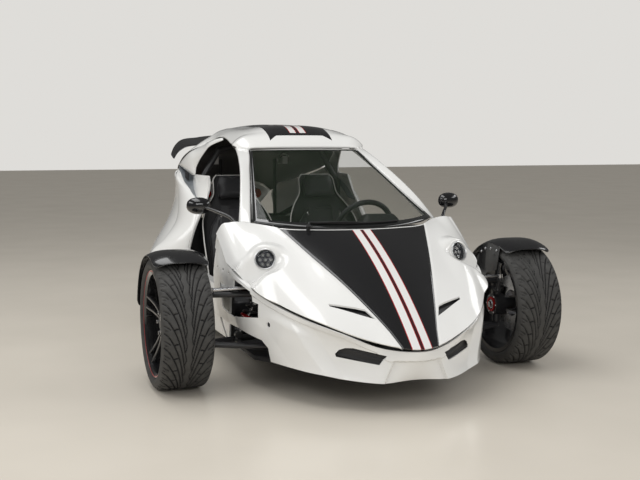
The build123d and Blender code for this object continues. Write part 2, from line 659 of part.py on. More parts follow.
def dash():
    """Dashboard with its instrument hood and the top that meets the glass."""
    shape = make_face(Polyline((70, 728), (300, 736), (420, 700), (430, 616), (400, 600), (330, 650),
                               (300, DASH_UNDER), (70, DASH_UNDER), close=True))
    body = extrude(Plane(origin=(-480, 0, 0), x_dir=(0, 1, 0), z_dir=(1, 0, 0)) * shape, 960)
    pod = Pos(WHEEL_CENTRE[0], 330, 700) * Rot(90, 0, 0) * Cylinder(105, 180)
    pod &= Pos(WHEEL_CENTRE[0], 330, 790) * Box(260, 200, 160)
    plane = wheel_plane()
    hole = plane.location * (Pos(0, 0, -250) * Cylinder(COLUMN_D / 2 + 6, 460))
    return body + pod - hole


SEAT_FRONT = (760.0, 196.0)
SEAT_LOW = (1010.0, 176.0)
SEAT_HIP = (1090.0, 210.0)
SEAT_TOP = (1400.0, 960.0)
SEAT_HALF = 225.0


def lean_box(start, end, lift, thick, half):
    """Block on the seat back from start to end along it, standing off by lift."""
    run = Vector(SEAT_TOP[0] - SEAT_HIP[0], SEAT_TOP[1] - SEAT_HIP[1], 0).normalized()
    off = Vector(-run.Y, run.X, 0)
    base = Vector(SEAT_HIP[0], SEAT_HIP[1], 0)
    a, b = base + run * start + off * lift, base + run * end + off * lift
    outline = make_face(Polyline(*[(v.X, v.Y) for v in (a, b, b + off * thick, a + off * thick)], close=True))
    plane = Plane(origin=(SEAT_X - half, 0, 0), x_dir=(0, 1, 0), z_dir=(1, 0, 0))
    return extrude(plane * outline, 2 * half)


def seats():
    """Bucket shells and their padded cushions, backs and headrests."""
    outline = make_face(Polyline(SEAT_FRONT, SEAT_LOW, SEAT_HIP, SEAT_TOP, (1424, 950), (1116, 180),
                                 (1030, 158), (756, 170), close=True))
    side_plane = Plane(origin=(SEAT_X - SEAT_HALF, 0, 0), x_dir=(0, 1, 0), z_dir=(1, 0, 0))
    bucket = extrude(side_plane * outline, 2 * SEAT_HALF)
    crop = make_face(Polyline((-230, 140), (230, 140), (230, 620), (200, 760), (125, 830), (115, 975),
                              (-115, 975), (-125, 830), (-200, 760), (-230, 620), close=True))
    crop = extrude(Plane(origin=(SEAT_X, 700, 0), x_dir=(1, 0, 0), z_dir=(0, -1, 0)) * crop, -800)
    bucket &= crop
    wing_face = make_face(Polyline((768, 188), (1010, 168), (1098, 200), (1308, 718), (1240, 740),
                                   (1040, 330), (800, 300), close=True))
    wing_plane = Plane(origin=(SEAT_X + SEAT_HALF - 12, 0, 0), x_dir=(0, 1, 0), z_dir=(1, 0, 0))
    side = extrude(wing_plane * wing_face, 12)
    bucket += side
    bucket += Pos(2 * SEAT_X, 0, 0) * mirror(side, about=Plane.YZ)
    floor = FLOOR_Z + FLOOR_WALL
    for y in (800, 990):
        bucket += Pos(SEAT_X, y, (floor + 172) / 2) * Box(330, 40, 172 - floor)
    pad_half = SEAT_HALF - 12 - 2
    cushion = make_face(Polyline((764, 196), (1010, 176.4), (1052, 194.3), (1022, 286), (880, 280), (770, 272),
                                 close=True))
    cushion_plane = Plane(origin=(SEAT_X - pad_half, 0, 0), x_dir=(0, 1, 0), z_dir=(1, 0, 0))
    write("seat_shells", *both_sides(bucket))
    pads = both_sides(extrude(cushion_plane * cushion, 2 * pad_half))
    pads += both_sides(lean_box(70, 590, SEAT_GAP, 70, 190))
    pads += both_sides(lean_box(640, 800, SEAT_GAP, 62, 105))
    write("seat_pads", *pads)


HOOP_Y = 1480.0
KNOT = 1.0
FRAME_Z = FLOOR_Z + FLOOR_WALL + TUBE_D / 2 + KNOT + SEAT_GAP
BRACE_D = 34.0
SWING_PIVOT = (2000.0, 345.0)
SWING_TUBE_D = 70.0
CHEEK_X = 225.0


def tube_path(points, diameter):
    """Round tube through the points, with a welded knot a little thicker than the tube at each bend."""
    body = None
    for a, b in zip(points, points[1:]):
        run = rod(a, b, diameter)
        body = run if body is None else body + run
    for bend in points[1:-1]:
        body += Pos(*bend) * Sphere(diameter / 2 + KNOT)
    return body


def frame(roof, tail_shell):
    """Roll hoop that carries the roof, with its stays, and the tail frame whose cheeks hold the swing arm."""
    y, z = HOOP_Y, FRAME_Z
    half = tube_path([(0, y, z), (470, y, z), (455, y, 900), (330, y, 1110), (0, y, 1180)], TUBE_D)
    half += tube_path([(470, y, z), (240, 1915, 250), (0, 1915, 250)], TUBE_D)
    half += tube_path([(455, y, 900), (225, 2000, 650), (0, 2000, 650)], TUBE_D)
    half += rod((240, 1915, 250), (225, 2000, 650), BRACE_D)
    cheek = make_face(Polyline((1900, 270), (1950, 262), (2040, 330), (2040, 365), (2010, 400), (1940, 400),
                               close=True))
    inner = CHEEK_X + SEAT_GAP
    half += extrude(Plane(origin=(inner, 0, 0), x_dir=(0, 1, 0), z_dir=(1, 0, 0)) * cheek, 12)
    half += under(rod((150, y, 1148), (150, y, 1330), 24), roof)
    half += under(rod((190, 2000, 650), (190, 2000, 1200), 24), tail_shell)
    return half + mirror(half, about=Plane.YZ)


def rail_line():
    """Line of the left floor rail: its front bend, its rear bend and its end at the hoop."""
    rail_x = CABIN_HALF - 12 - TUBE_D / 2 - SEAT_GAP
    end = HOOP_Y - TUBE_D / 2 - KNOT - SEAT_GAP
    return (rail_x, LOW_PIVOTS[1][1] + 222, FRAME_Z), (rail_x, end - 200, FRAME_Z), (440, end - RAIL_D / 2, FRAME_Z)


def front_frame(shell):
    """Box frame in the nose, which carries the arms, the coil-overs and the front shell, with floor rails."""
    z = FLOOR_Z + FLOOR_WALL
    front, back = LOW_PIVOTS[0][1] - 42, LOW_PIVOTS[1][1] + 42
    half = None
    for y in (front, back):
        post = tube_path([(LOW_RAIL[0], y, z), (LOW_RAIL[0], y, LOW_RAIL[1]), (TOP_RAIL[0], y, TOP_RAIL[1]),
                          (SHOCK_RAIL[0], y, SHOCK_RAIL[1])], RAIL_D)
        half = post if half is None else half + post
        half += rod((0, y, LOW_RAIL[1]), (LOW_RAIL[0], y, LOW_RAIL[1]), RAIL_D)
        half += rod((0, y, SHOCK_RAIL[1]), (SHOCK_RAIL[0], y, SHOCK_RAIL[1]), RAIL_D)
    for x, height in (LOW_RAIL, TOP_RAIL, SHOCK_RAIL):
        half += rod((x, front, height), (x, back, height), RAIL_D)
    cross = Vector(0, front, SHOCK_RAIL[1])
    rack = Vector(0, RACK_AT[1], RACK_AT[2])
    towards = (cross - rack).normalized()
    seat = rack + towards * (29 + SEAT_GAP)
    half += rod((150, seat.Y, seat.Z), (150, cross.Y, cross.Z), 18)
    half += tube_path([(LOW_RAIL[0], back, LOW_RAIL[1]), *rail_line()], RAIL_D)
    plane = wheel_plane()
    tube = Vector(WHEEL_CENTRE[0], back, SHOCK_RAIL[1])
    along = (tube - plane.origin).dot(plane.z_dir)
    foot = plane.origin + plane.z_dir * along
    lift = (tube - foot).normalized()
    start = foot + lift * (COLUMN_D / 2 + SEAT_GAP)
    half += under(rod((SHOCK_RAIL[0], -120, SHOCK_RAIL[1]), (SHOCK_RAIL[0], -120, 900), 20), shell)
    half += rod((SHOCK_RAIL[0], back, SHOCK_RAIL[1]), (SHOCK_RAIL[0], back, DASH_UNDER - SEAT_GAP), 20)
    whole = half + mirror(half, about=Plane.YZ)
    whole += under(rod((0, front, SHOCK_RAIL[1]), (0, front, 900), 20), shell)
    return whole + rod(tuple(start), tuple(tube), 24)


# Rear

REAR_AXLE_D = 28.0
AXLE_BORE_D = 16.0


def rear_suspension():
    """Swing arm with its axle, and the shock between it and the tail frame."""
    pivot_y, pivot_z = SWING_PIVOT
    arm = None
    for side in (-1, 1):
        leg = quad_loft([
            [(side * 186, pivot_y, 310), (side * 222, pivot_y, 310), (side * 222, pivot_y, 380),
             (side * 186, pivot_y, 380)],
            [(side * 192, WHEELBASE + 40, 302), (side * 220, WHEELBASE + 40, 302),
             (side * 220, WHEELBASE + 40, 362), (side * 192, WHEELBASE + 40, 362)]])
        arm = leg if arm is None else arm + leg
    arm += rod((-CHEEK_X, pivot_y, pivot_z), (CHEEK_X, pivot_y, pivot_z), SWING_TUBE_D)
    arm += rod((-232, WHEELBASE, REAR_R), (232, WHEELBASE, REAR_R), REAR_AXLE_D)
    arm += quad_loft([[(-40, pivot_y - 12, 372), (40, pivot_y - 12, 372), (40, pivot_y + 20, 372),
                       (-40, pivot_y + 20, 372)],
                      [(-24, pivot_y - 12, 440), (24, pivot_y - 12, 440), (24, pivot_y + 16, 440),
                       (-24, pivot_y + 16, 440)]])
    arm -= rod((-240, WHEELBASE, REAR_R), (240, WHEELBASE, REAR_R), AXLE_BORE_D)
    write("swing_arm", arm)
    write("rear_shock", rod((0, pivot_y, 440 + SEAT_GAP), (0, pivot_y, 650 - TUBE_D / 2 - SEAT_GAP), 58))


ENGINE_Y = (1510.0, 1820.0)
ENGINE_HALF = 210.0
SPROCKET_AT = (1890.0, 345.0)
CHAIN_X = 165.0
FRONT_SPROCKET_R = 48.0
REAR_SPROCKET_R = 105.0


def engine():
    """Engine as one block with its output housing; driving sprocket on its shaft with the chain loop."""
    y0, y1 = ENGINE_Y
    end = SPROCKET_AT[0] + 20
    block = Pos(0, (y0 + y1) / 2, 425) * Box(2 * ENGINE_HALF, y1 - y0, 470)
    housing = Pos(0, (y1 + end) / 2, SPROCKET_AT[1]) * Box(180, end - y1, 110)
    write("engine_block", block + housing)
    shaft = rod((-90 - SEAT_GAP, *SPROCKET_AT), (-CHAIN_X - 8, *SPROCKET_AT), 30)
    wheel = ring_x([(-CHAIN_X - 5, 14), (-CHAIN_X + 5, 14), (-CHAIN_X + 5, FRONT_SPROCKET_R),
                    (-CHAIN_X - 5, FRONT_SPROCKET_R)], (0, *SPROCKET_AT))
    reach = WHEELBASE - SPROCKET_AT[0]
    rise = REAR_R - SPROCKET_AT[1]
    span = hypot(reach, rise)
    lean = degrees(atan2(rise, reach))

    def loop(extra):
        small, large = FRONT_SPROCKET_R + extra, REAR_SPROCKET_R + extra
        tilt = (large - small) / span
        up = (1 - tilt * tilt) ** 0.5
        a, b = (-tilt * small, up * small), (span - tilt * large, up * large)
        c, d = (b[0], -b[1]), (a[0], -a[1])
        edges = [Edge.make_line((*a, 0), (*b, 0)),
                 Edge.make_three_point_arc((*b, 0), (span + large, 0, 0), (*c, 0)),
                 Edge.make_line((*c, 0), (*d, 0)), Edge.make_three_point_arc((*d, 0), (-small, 0, 0), (*a, 0))]
        return Face(Wire(edges))

    plane = Plane(origin=(-CHAIN_X - 8, *SPROCKET_AT), x_dir=(0, cos(radians(lean)), sin(radians(lean))),
                  z_dir=(1, 0, 0))
    chain = extrude(plane * loop(14), 16, dir=(1, 0, 0)) - extrude(plane * loop(SEAT_GAP), 16, dir=(1, 0, 0))
    write("final_drive", shaft + wheel, chain)


def rear_wheel():
    """Tyre, rim, disc and sprocket of the driven wheel."""
    centre = (0, WHEELBASE, REAR_R)
    write("tyre_rear", tyre(centre, REAR_TYRE_D, REAR_TYRE_W, REAR_RIM_R))
    face = 90.0
    bore, hub_r = REAR_AXLE_D / 2 + 0.1, 33.0
    sleeve = ring_x([(-CHAIN_X - 5, bore), (118, bore), (118, hub_r), (-CHAIN_X - 5, hub_r)], (0, 0, 0))
    write("rim_rear", rim(centre, REAR_RIM_R, REAR_TYRE_W, 1, 5, face) + Pos(*centre) * sleeve)
    seat = hub_r + SEAT_GAP
    plate = ring_x([(102, seat), (110, seat), (110, 120), (102, 120)], (0, 0, 0))
    cog = ring_x([(-CHAIN_X - 5, seat), (-CHAIN_X + 16, seat), (-CHAIN_X + 16, 48), (-CHAIN_X + 5, 60),
                  (-CHAIN_X + 5, REAR_SPROCKET_R), (-CHAIN_X - 5, REAR_SPROCKET_R)], (0, 0, 0))
    write("rear_disc_and_sprocket", Pos(*centre) * plate, Pos(*centre) * cog)


def hugger():
    """Mudguard close over the rear tyre, carried by the swing arm's ends."""
    inner = REAR_GUARD_R
    profile = make_face(Polyline((-160, inner - 30), (-150, inner), (150, inner), (160, inner - 30),
                                 (156, inner - 30), (147, inner - 4), (-147, inner - 4), (-156, inner - 30),
                                 close=True))
    profile = Plane(origin=(0, 0, 0), x_dir=(1, 0, 0), z_dir=(0, -1, 0)) * profile
    shell = Pos(0, WHEELBASE, REAR_R) * revolve(Rot(10, 0, 0) * profile, Axis.X, -100)
    for side in (-1, 1):
        shell += rod((side * 157, WHEELBASE + 262, REAR_R + 215), (side * 206, WHEELBASE + 20, 364 + 8), 14)
        shell += rod((side * 206, WHEELBASE + 20, 364 + SEAT_GAP), (side * 206, WHEELBASE + 20, 380), 26)
    return shell


# Wing, one row per station from the left tip to the middle: x, y of the leading edge, z, chord
WING = [
    (532.0, 1850.0, 1058.0, 110.0),
    (470.0, 1860.0, 1124.0, 170.0),
    (330.0, 1870.0, 1148.0, 200.0),
    (0.0, 1875.0, 1160.0, 215.0),
]
WING_POST_X = 240.0
WING_PAD_Z = 1088.0


def wing():
    """Curved rear wing with its tips turned down, on two posts."""
    half = [(x, y, z, chord) for x, y, z, chord in WING]
    rows = half + [(-x, y, z, chord) for x, y, z, chord in half[-2::-1]]
    wires = []
    for x, y, z, chord in rows:
        a, c = (x, y, z), (x, y + chord, z + 10)
        top, under = (x, y + chord / 2, z + 16), (x, y + chord / 2, z - 4)
        wires.append(Wire([Edge.make_three_point_arc(a, top, c), Edge.make_three_point_arc(c, under, a)]))
    blade = Solid.make_loft(wires, False)
    for side in (-1, 1):
        foot = WING_PAD_Z + SEAT_GAP
        blade += quad_loft([[(side * WING_POST_X - 5, 1930, foot), (side * WING_POST_X + 5, 1930, foot),
                             (side * WING_POST_X + 5, 2020, foot), (side * WING_POST_X - 5, 2020, foot)],
                            [(side * WING_POST_X - 5, 1920, 1158), (side * WING_POST_X + 5, 1920, 1158),
                             (side * WING_POST_X + 5, 2000, 1162), (side * WING_POST_X - 5, 2000, 1162)]])
    return blade


def arc_point(side, middle, across):
    """Point on the arc from the middle point to the side point and its mirror image, by its share of x."""
    side, middle = Vector(*side), Vector(*middle)
    half, rise = side.X, hypot(side.Y - middle.Y, side.Z - middle.Z)
    radius = (half ** 2 + rise ** 2) / (2 * rise)
    share = (radius - (radius ** 2 - (across * half) ** 2) ** 0.5) / rise
    return Vector(across * half, middle.Y + (side.Y - middle.Y) * share, middle.Z + (side.Z - middle.Z) * share)


def screen_point(across, up, off=0.0):
    """Point on the windscreen: across from -1 to 1, up from 0 to 1, standing off outwards."""
    point = arc_point(*SCREEN_BASE, across) * (1 - up) + arc_point(*SCREEN_TOP, across) * up
    return tuple(point + Vector(0.25 * across, -0.42, 0.9).normalized() * off)


WIPER_SPINDLE = (-262.0, -66.0, 775.0)
MIRROR_HEAD = (718.0, 367.0, 842.0)
MIRROR_FOOT = (598.0, 168.0, 752.0)


def door_mirrors(shell):
    """Oval mirror heads on curved stalks from the hood's rear corners."""
    head = extrude(Plane(origin=(MIRROR_HEAD[0], MIRROR_HEAD[1] - 26, MIRROR_HEAD[2]), x_dir=(1, 0, 0),
                         z_dir=(0, 1, 0)) * Ellipse(86, 54), 52)
    head = fillet(head.edges(), 14)
    knee = (650.0, 250.0, 806.0)
    stalk = tube_path([MIRROR_FOOT, knee, (MIRROR_HEAD[0] - 30, MIRROR_HEAD[1] - 6, MIRROR_HEAD[2] - 10)], 20)
    stalk += rod(MIRROR_FOOT, (600, 172, 764), 46)
    return max((stalk + head - shell).solids(), key=lambda s: s.volume)


def wiper(shell):
    """One long blade low on the glass, its arm, and the spindle that stands on the hood's rear edge."""
    x, y, top = WIPER_SPINDLE
    body = above(rod((x, y, 640), (x, y, top), 24), shell)
    body += tube_path([(x, y, top - 6), screen_point(-0.3, 0.03, 34), screen_point(0.0, 0.045, 14)], 9)
    blade = [screen_point(across, 0.042, 13) for across in (-0.5, -0.25, 0.0, 0.25, 0.48)]
    return body + tube_path(blade, 10)


def belts():
    """Two shoulder straps on each seat's back."""
    straps = []
    for shift in (-75, 75):
        strap = Pos(shift, 0, 0) * lean_box(90, 586, 70 + 2 * SEAT_GAP, 3, 24)
        straps += both_sides(strap)
    return straps


def pedals():
    """Cross bar with three pads in the driver's foot well, fixed to the floor."""
    level = FLOOR_Z + FLOOR_WALL + 9
    bar = rod((130, -330, level), (330, -330, level), 24)
    for x, wide in ((160, 40), (225, 50), (295, 40)):
        bar += rod((x, -330, level), (x, -300, 330), 14)
        bar += Pos(x, -292, 335) * Rot(-12, 0, 0) * Box(wide, 10, 70)
    return bar


TAIL_Y = 2445.0
PLATE_HOLE = (89.0, 740.0, 3.5)


def tail():
    """Panel that closes the deck's end, with the lamps set in it."""
    outline = make_face(Polyline((-288, 800), (-200, 700), (200, 700), (288, 800), (200, 852), (0, 872),
                                 (-200, 852), close=True))
    plane = Plane(origin=(0, TAIL_Y, 0), x_dir=(1, 0, 0), z_dir=(0, -1, 0))
    panel = extrude(plane * outline, 8)
    hole = extrude(Plane(origin=(0, TAIL_Y + 10, 0), x_dir=(1, 0, 0), z_dir=(0, -1, 0)) *
                   Pos(185, 782) * Circle(38), 30)
    lamp = extrude(Plane(origin=(0, TAIL_Y + 8, 0), x_dir=(1, 0, 0), z_dir=(0, -1, 0)) *
                   Pos(185, 782) * Circle(38 - SEAT_GAP), 26)
    screw = Plane(origin=(0, TAIL_Y + 10, 0), x_dir=(1, 0, 0), z_dir=(0, -1, 0)) * Pos(*PLATE_HOLE[:2])
    for cut in both_sides(hole) + both_sides(extrude(screw * Circle(PLATE_HOLE[2]), 30)):
        panel -= cut
    write("tail_lamps", *both_sides(lamp))
    return panel


def exhaust():
    """Pipe from the engine's side to one silencer beside the tail."""
    pipe = tube_path([(-ENGINE_HALF - SEAT_GAP, 1700, 300), (-290, 1700, 300), (-290, 1780, 430),
                      (-290, 2020, 505), (-245, 2110, 522)], 44)
    can = rod((-245, 2095, 520), (-240, 2440, 560), 96)
    bore = rod((-240, 2430, 559), (-240, 2450, 562), 60)
    return pipe + can - bore


def deck():
    """Rear deck with its end panel and the two pads under the wing's posts."""
    shell = skin(cross_rows(DECK), BODY_WALL, (0, 2000, 300)) + tail()
    for pad in both_sides(Pos(WING_POST_X, 1975, WING_PAD_Z - 40) * Box(36, 110, 80)):
        shell += pad
    return shell


def build():
    """Write every sub-part."""
    os.makedirs(OUT, exist_ok=True)
    for side in (1, -1):
        front_wheel(side)
        knuckle(side)
    front_suspension()
    housing = steering()
    write("steering_wheel", steering_wheel())
    bore = rod((-250, RACK_AT[1], RACK_AT[2]), (250, RACK_AT[1], RACK_AT[2]), RACK_D + 3)
    write("steering_column", (column() + housing) - bore)
    shell = hood()
    write("hood", shell & hood_prism(SEAT_GAP))
    write("front_wings", shell - hood_prism(0))
    write("wiper", wiper(shell))
    headlamps()
    write("nose", nose())
    write("windscreen", windscreen())
    roof = canopy()
    write("canopy", roof)
    tail_shell = deck()
    write("rear_deck", tail_shell)
    pod = pods()
    write("side_pods", *both_sides(pod))
    write("side_sills", *both_sides(sills()))
    write("cabin_tub", tub(pod))
    write("dashboard", dash())
    seats()
    write("roll_frame", frame(roof, tail_shell))
    write("front_frame", front_frame(shell))
    engine()
    rear_suspension()
    rear_wheel()
    write("rear_mudguard", hugger())
    write("rear_wing", wing())
    write("door_mirrors", *both_sides(door_mirrors(shell)))
    write("seat_belts", *belts())
    write("exhaust", exhaust())


build()
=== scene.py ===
# %% [markdown]
# # A three wheeled car
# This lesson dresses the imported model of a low, open sided two seat car. The frame holds every solid at its
# true size and place, so each cell below only adds smoother skins, finishes and small detail. Tables are in
# millimetres from the front axle, as a body maker would dimension them, and `row` moves them into the frame.

# %% Load the frame
import json
from functools import partial, reduce
from math import cos, hypot, pi, radians, sin

import bmesh
import bpy
import numpy as np
from mathutils import Matrix, Vector


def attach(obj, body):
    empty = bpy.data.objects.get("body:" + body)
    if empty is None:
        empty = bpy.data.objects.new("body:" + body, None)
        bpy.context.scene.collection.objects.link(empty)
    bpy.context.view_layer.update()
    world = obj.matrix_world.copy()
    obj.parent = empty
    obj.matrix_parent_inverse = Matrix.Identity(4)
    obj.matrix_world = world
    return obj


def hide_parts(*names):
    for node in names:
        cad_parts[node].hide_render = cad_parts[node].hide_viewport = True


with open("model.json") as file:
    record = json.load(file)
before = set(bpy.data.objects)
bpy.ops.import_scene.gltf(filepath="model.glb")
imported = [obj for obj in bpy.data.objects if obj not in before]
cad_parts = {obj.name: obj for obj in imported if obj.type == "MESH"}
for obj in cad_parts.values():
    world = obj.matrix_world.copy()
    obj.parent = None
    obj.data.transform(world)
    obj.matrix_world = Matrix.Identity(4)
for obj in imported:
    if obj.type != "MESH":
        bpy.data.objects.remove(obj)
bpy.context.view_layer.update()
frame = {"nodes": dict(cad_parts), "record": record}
AXLE_TO_ROW = -965.0
BODY_OF = {node: body for body, nodes in frame["record"]["behaviour"]["bodies"].items() for node in nodes}
SIDES = ((1, "left"), (-1, "right"))


def row(x, y, z):
    """A point in millimetres from the front axle, as metres in the frame."""
    return Vector((x / 1000, (y + AXLE_TO_ROW) / 1000, z / 1000))


# %% [markdown]
# ## The camera
# The photographer stood to the right of the nose, a little above the roof, and looked slightly down. The
# place was worked out from the tyres, lamps and screen corners. The focal length is a lens of about 59 mm.

# %% Camera
CAMERA_AT = row(-1884.9, -4887.5, 1210.0)
CAMERA_YAW, CAMERA_PITCH, CAMERA_ROLL = 19.2294, 5.7781, -0.059
FOCAL_PIXELS, PHOTO_WIDE, SENSOR_WIDE = 1049.33, 640, 36.0

lens = bpy.data.cameras.new("camera")
lens.sensor_width = SENSOR_WIDE
lens.lens = FOCAL_PIXELS / PHOTO_WIDE * SENSOR_WIDE
camera = bpy.data.objects.new("camera", lens)
camera.location = CAMERA_AT
camera.rotation_euler = (radians(90 - CAMERA_PITCH), radians(CAMERA_ROLL), radians(-CAMERA_YAW))
bpy.context.scene.collection.objects.link(camera)
bpy.context.scene.camera = camera
bpy.context.scene.view_settings.view_transform = "Standard"
print("lens", round(lens.lens, 2))

# %% [markdown]
# ## Materials from nodes
# A finish is a small graph. `node` adds one node and `plug` gives its sockets a value or a link. `reckon`
# does a sum, `ramp` turns a number into a colour and `blend_colour` mixes two. `material_of` makes the shader
# they feed.

# %% Node tools
def plug(tree, target, sockets):
    """Give each named socket of a node its value, or a link from another node's socket."""
    for name, value in sockets.items():
        if isinstance(value, bpy.types.NodeSocket):
            tree.links.new(value, target.inputs[name])
        else:
            target.inputs[name].default_value = value
    return target


def node(tree, kind, sockets=None, family="ShaderNode", **settings):
    """A new node with its settings and sockets."""
    made = tree.nodes.new(family + kind)
    for name, value in settings.items():
        setattr(made, name, value)
    return plug(tree, made, sockets or {})


def reckon(tree, kind, *values):
    """A sum over numbers or sockets."""
    return node(tree, "Math", dict(enumerate(values)), operation=kind).outputs["Value"]


def blend_colour(tree, share, first, second):
    return node(tree, "Mix", {"Factor": share, 6: first, 7: second}, data_type="RGBA").outputs[2]


def ramp(tree, value, stops, interpolation="LINEAR"):
    """Colour over a value, from (place, colour) stops."""
    made = node(tree, "ValToRGB", {"Fac": value})
    made.color_ramp.interpolation = interpolation
    elements = made.color_ramp.elements
    elements.remove(elements[1])
    elements[0].position, elements[0].color = stops[0][0], (*stops[0][1], 1)
    for place, colour in stops[1:]:
        elements.new(place).color = (*colour, 1)
    return made.outputs["Color"]


def map_to(tree, value, low, high):
    return node(tree, "MapRange", {"Value": value, "To Min": low, "To Max": high}).outputs["Result"]


def material_of(name, sockets):
    """A new material of one Principled shader: the material, its tree and the shader."""
    material = bpy.data.materials.new(name)
    material.use_nodes = True
    tree = material.node_tree
    tree.nodes.clear()
    shader = node(tree, "BsdfPrincipled", sockets)
    node(tree, "OutputMaterial", {"Surface": shader.outputs["BSDF"]})
    return material, tree, shader


def object_place(tree):
    return node(tree, "TexCoord").outputs["Object"]


# %% [markdown]
# ## The studio
# A glossy body shows its form by what it mirrors, so the room is a pale floor, a pale world and a few large
# soft lamps overhead. Long lamps draw long highlights over the hood and the roof. The world is darker where a
# surface mirrors it and brighter where the camera sees it, so black panels stay deep in front of a pale
# backdrop.

# %% Floor, world and lamps
FLOOR_HALF = 30.0
FLOOR_COLOURS = (0.64, 0.595, 0.52), (0.72, 0.67, 0.59)
AIR, BACKDROP = (0.80, 0.79, 0.77, 1), (0.80, 0.785, 0.755, 1)
AIR_LIGHT, AIR_MIRRORED, BACKDROP_LIGHT = 0.74, 0.11, 0.92
LAMPS = [("overhead", (-1.5, -0.3, 5.2), (0, 0, 0), (2.2, 6.5), 118.0),
         ("left_strip", (4.6, -1.6, 3.4), (0, radians(58), 0), (1.2, 5.5), 55.0),
         ("right_strip", (-4.6, -1.2, 3.6), (0, radians(-56), 0), (1.2, 5.5), 62.0),
         ("front_fill", (-1.2, -7.5, 3.0), (radians(66), 0, 0), (4.0, 1.6), 84.0)]


def floor_material():
    """Pale polished concrete with soft clouds in its colour."""
    material, tree, shader = material_of("studio_floor", {"Roughness": 0.26, "Specular IOR Level": 0.35})
    clouds = node(tree, "TexNoise", {"Scale": 1.6, "Vector": object_place(tree)}).outputs["Fac"]
    plug(tree, shader, {"Base Color": ramp(tree, clouds, list(enumerate(FLOOR_COLOURS)))})
    return material


def studio():
    """Floor, world and lamps; none of it belongs to the car."""
    corners = [(x * FLOOR_HALF, y * FLOOR_HALF, 0) for x, y in ((-1, -1), (1, -1), (1, 1), (-1, 1))]
    floor_mesh = bpy.data.meshes.new("floor")
    floor_mesh.from_pydata(corners, [], [(0, 1, 2, 3)])
    floor_mesh.materials.append(floor_material())
    floor = bpy.data.objects.new("floor", floor_mesh)
    bpy.context.scene.collection.objects.link(floor)
    world = bpy.data.worlds.new("studio_air")
    world.use_nodes = True
    tree = world.node_tree
    air = plug(tree, tree.nodes["Background"], {"Color": AIR, "Strength": AIR_LIGHT})
    mirrored, backdrop = [node(tree, "Background", {"Color": colour, "Strength": strength})
                          for colour, strength in ((AIR, AIR_MIRRORED), (BACKDROP, BACKDROP_LIGHT))]
    rays = node(tree, "LightPath").outputs
    seen = reckon(tree, "MAXIMUM", rays["Is Camera Ray"], rays["Is Transmission Ray"])
    for share, other in ((rays["Is Glossy Ray"], mirrored), (seen, backdrop)):
        air = node(tree, "MixShader", {"Fac": share, 1: air.outputs[0], 2: other.outputs["Background"]})
    plug(tree, tree.nodes["World Output"], {"Surface": air.outputs["Shader"]})
    bpy.context.scene.world = world
    for name, place, turn, size, power in LAMPS:
        light = bpy.data.lights.new(name, "AREA")
        light.shape = "RECTANGLE"
        light.size, light.size_y = size
        light.energy = power
        lamp = bpy.data.objects.new(name, light)
        lamp.location = place
        lamp.rotation_euler = turn
        bpy.context.scene.collection.objects.link(lamp)


studio()
print("lamps in the studio", len(LAMPS))

# %% [markdown]
# ## Small tools of the body shop
# Every skin below starts as a table of stations. `arc_points` follows the arc through three points, `fair`
# draws a smooth curve through rows, and `skin_mesh` turns a grid of points into faces. `part` puts the
# finished piece on its body and hides the solids that it stands for.

# %% Curves
def arc_points(a, b, c, shares):
    """Points on the arc from a through b to c, at the given shares of its sweep."""
    a, b, c = (np.array(p, float) for p in (a, b, c))
    ab, ac = b - a, c - a
    normal = np.cross(ab, ac)
    area = normal @ normal
    shares = np.asarray(shares, float)
    if area < 1e-9 * (ac @ ac) ** 2:
        return a + np.outer(shares, ac)
    centre = a + (np.cross(normal, ab) * (ac @ ac) + np.cross(ac, normal) * (ab @ ab)) / (2 * area)
    u = a - centre
    w = np.cross(normal / np.sqrt(area), u)
    sweep = np.arctan2((c - centre) @ w, (c - centre) @ u) % (2 * pi)
    return centre + np.outer(np.cos(sweep * shares), u) + np.outer(np.sin(sweep * shares), w)


def fair(keys, rows, at):
    """Smooth rows between the given ones: cubic pieces that share their slopes at every key."""
    keys, rows, at = np.asarray(keys, float), np.asarray(rows, float), np.atleast_1d(np.asarray(at, float))
    slope = np.gradient(rows, keys, axis=0)
    k = np.clip(np.searchsorted(keys, at, side="right") - 1, 0, len(keys) - 2)
    step = keys[k + 1] - keys[k]
    t = (at - keys[k]) / step
    shape = (-1,) + (1,) * (rows.ndim - 1)
    t, step = t.reshape(shape), step.reshape(shape)
    return ((2 * t ** 3 - 3 * t ** 2 + 1) * rows[k] + (t ** 3 - 2 * t ** 2 + t) * step * slope[k]
            + (-2 * t ** 3 + 3 * t ** 2) * rows[k + 1] + (t ** 3 - t ** 2) * step * slope[k + 1])


def chord_keys(rows):
    """Running length along the rows, as keys for fair."""
    rows = np.asarray(rows, float)
    steps = np.sqrt((np.diff(rows, axis=0) ** 2).reshape(len(rows) - 1, -1).sum(1))
    return np.concatenate([[0], np.cumsum(steps)])


def fair_line(rows, count, measured=None):
    """Rows at even steps along the smooth curve through the given ones, measured along them or other rows."""
    keys = chord_keys(rows if measured is None else measured)
    return fair(keys, rows, np.linspace(0, keys[-1], count))


def circle(centre, radius, count, start=0.0):
    """Points (a, b) round a centre."""
    turns = [start + 2 * pi * k / count for k in range(count)]
    return [(centre[0] + radius * cos(turn), centre[1] + radius * sin(turn)) for turn in turns]


def smoothstep(t):
    t = np.clip(t, 0, 1)
    return t * t * (3 - 2 * t)


# %% Meshes and objects
MERGE = 2e-5


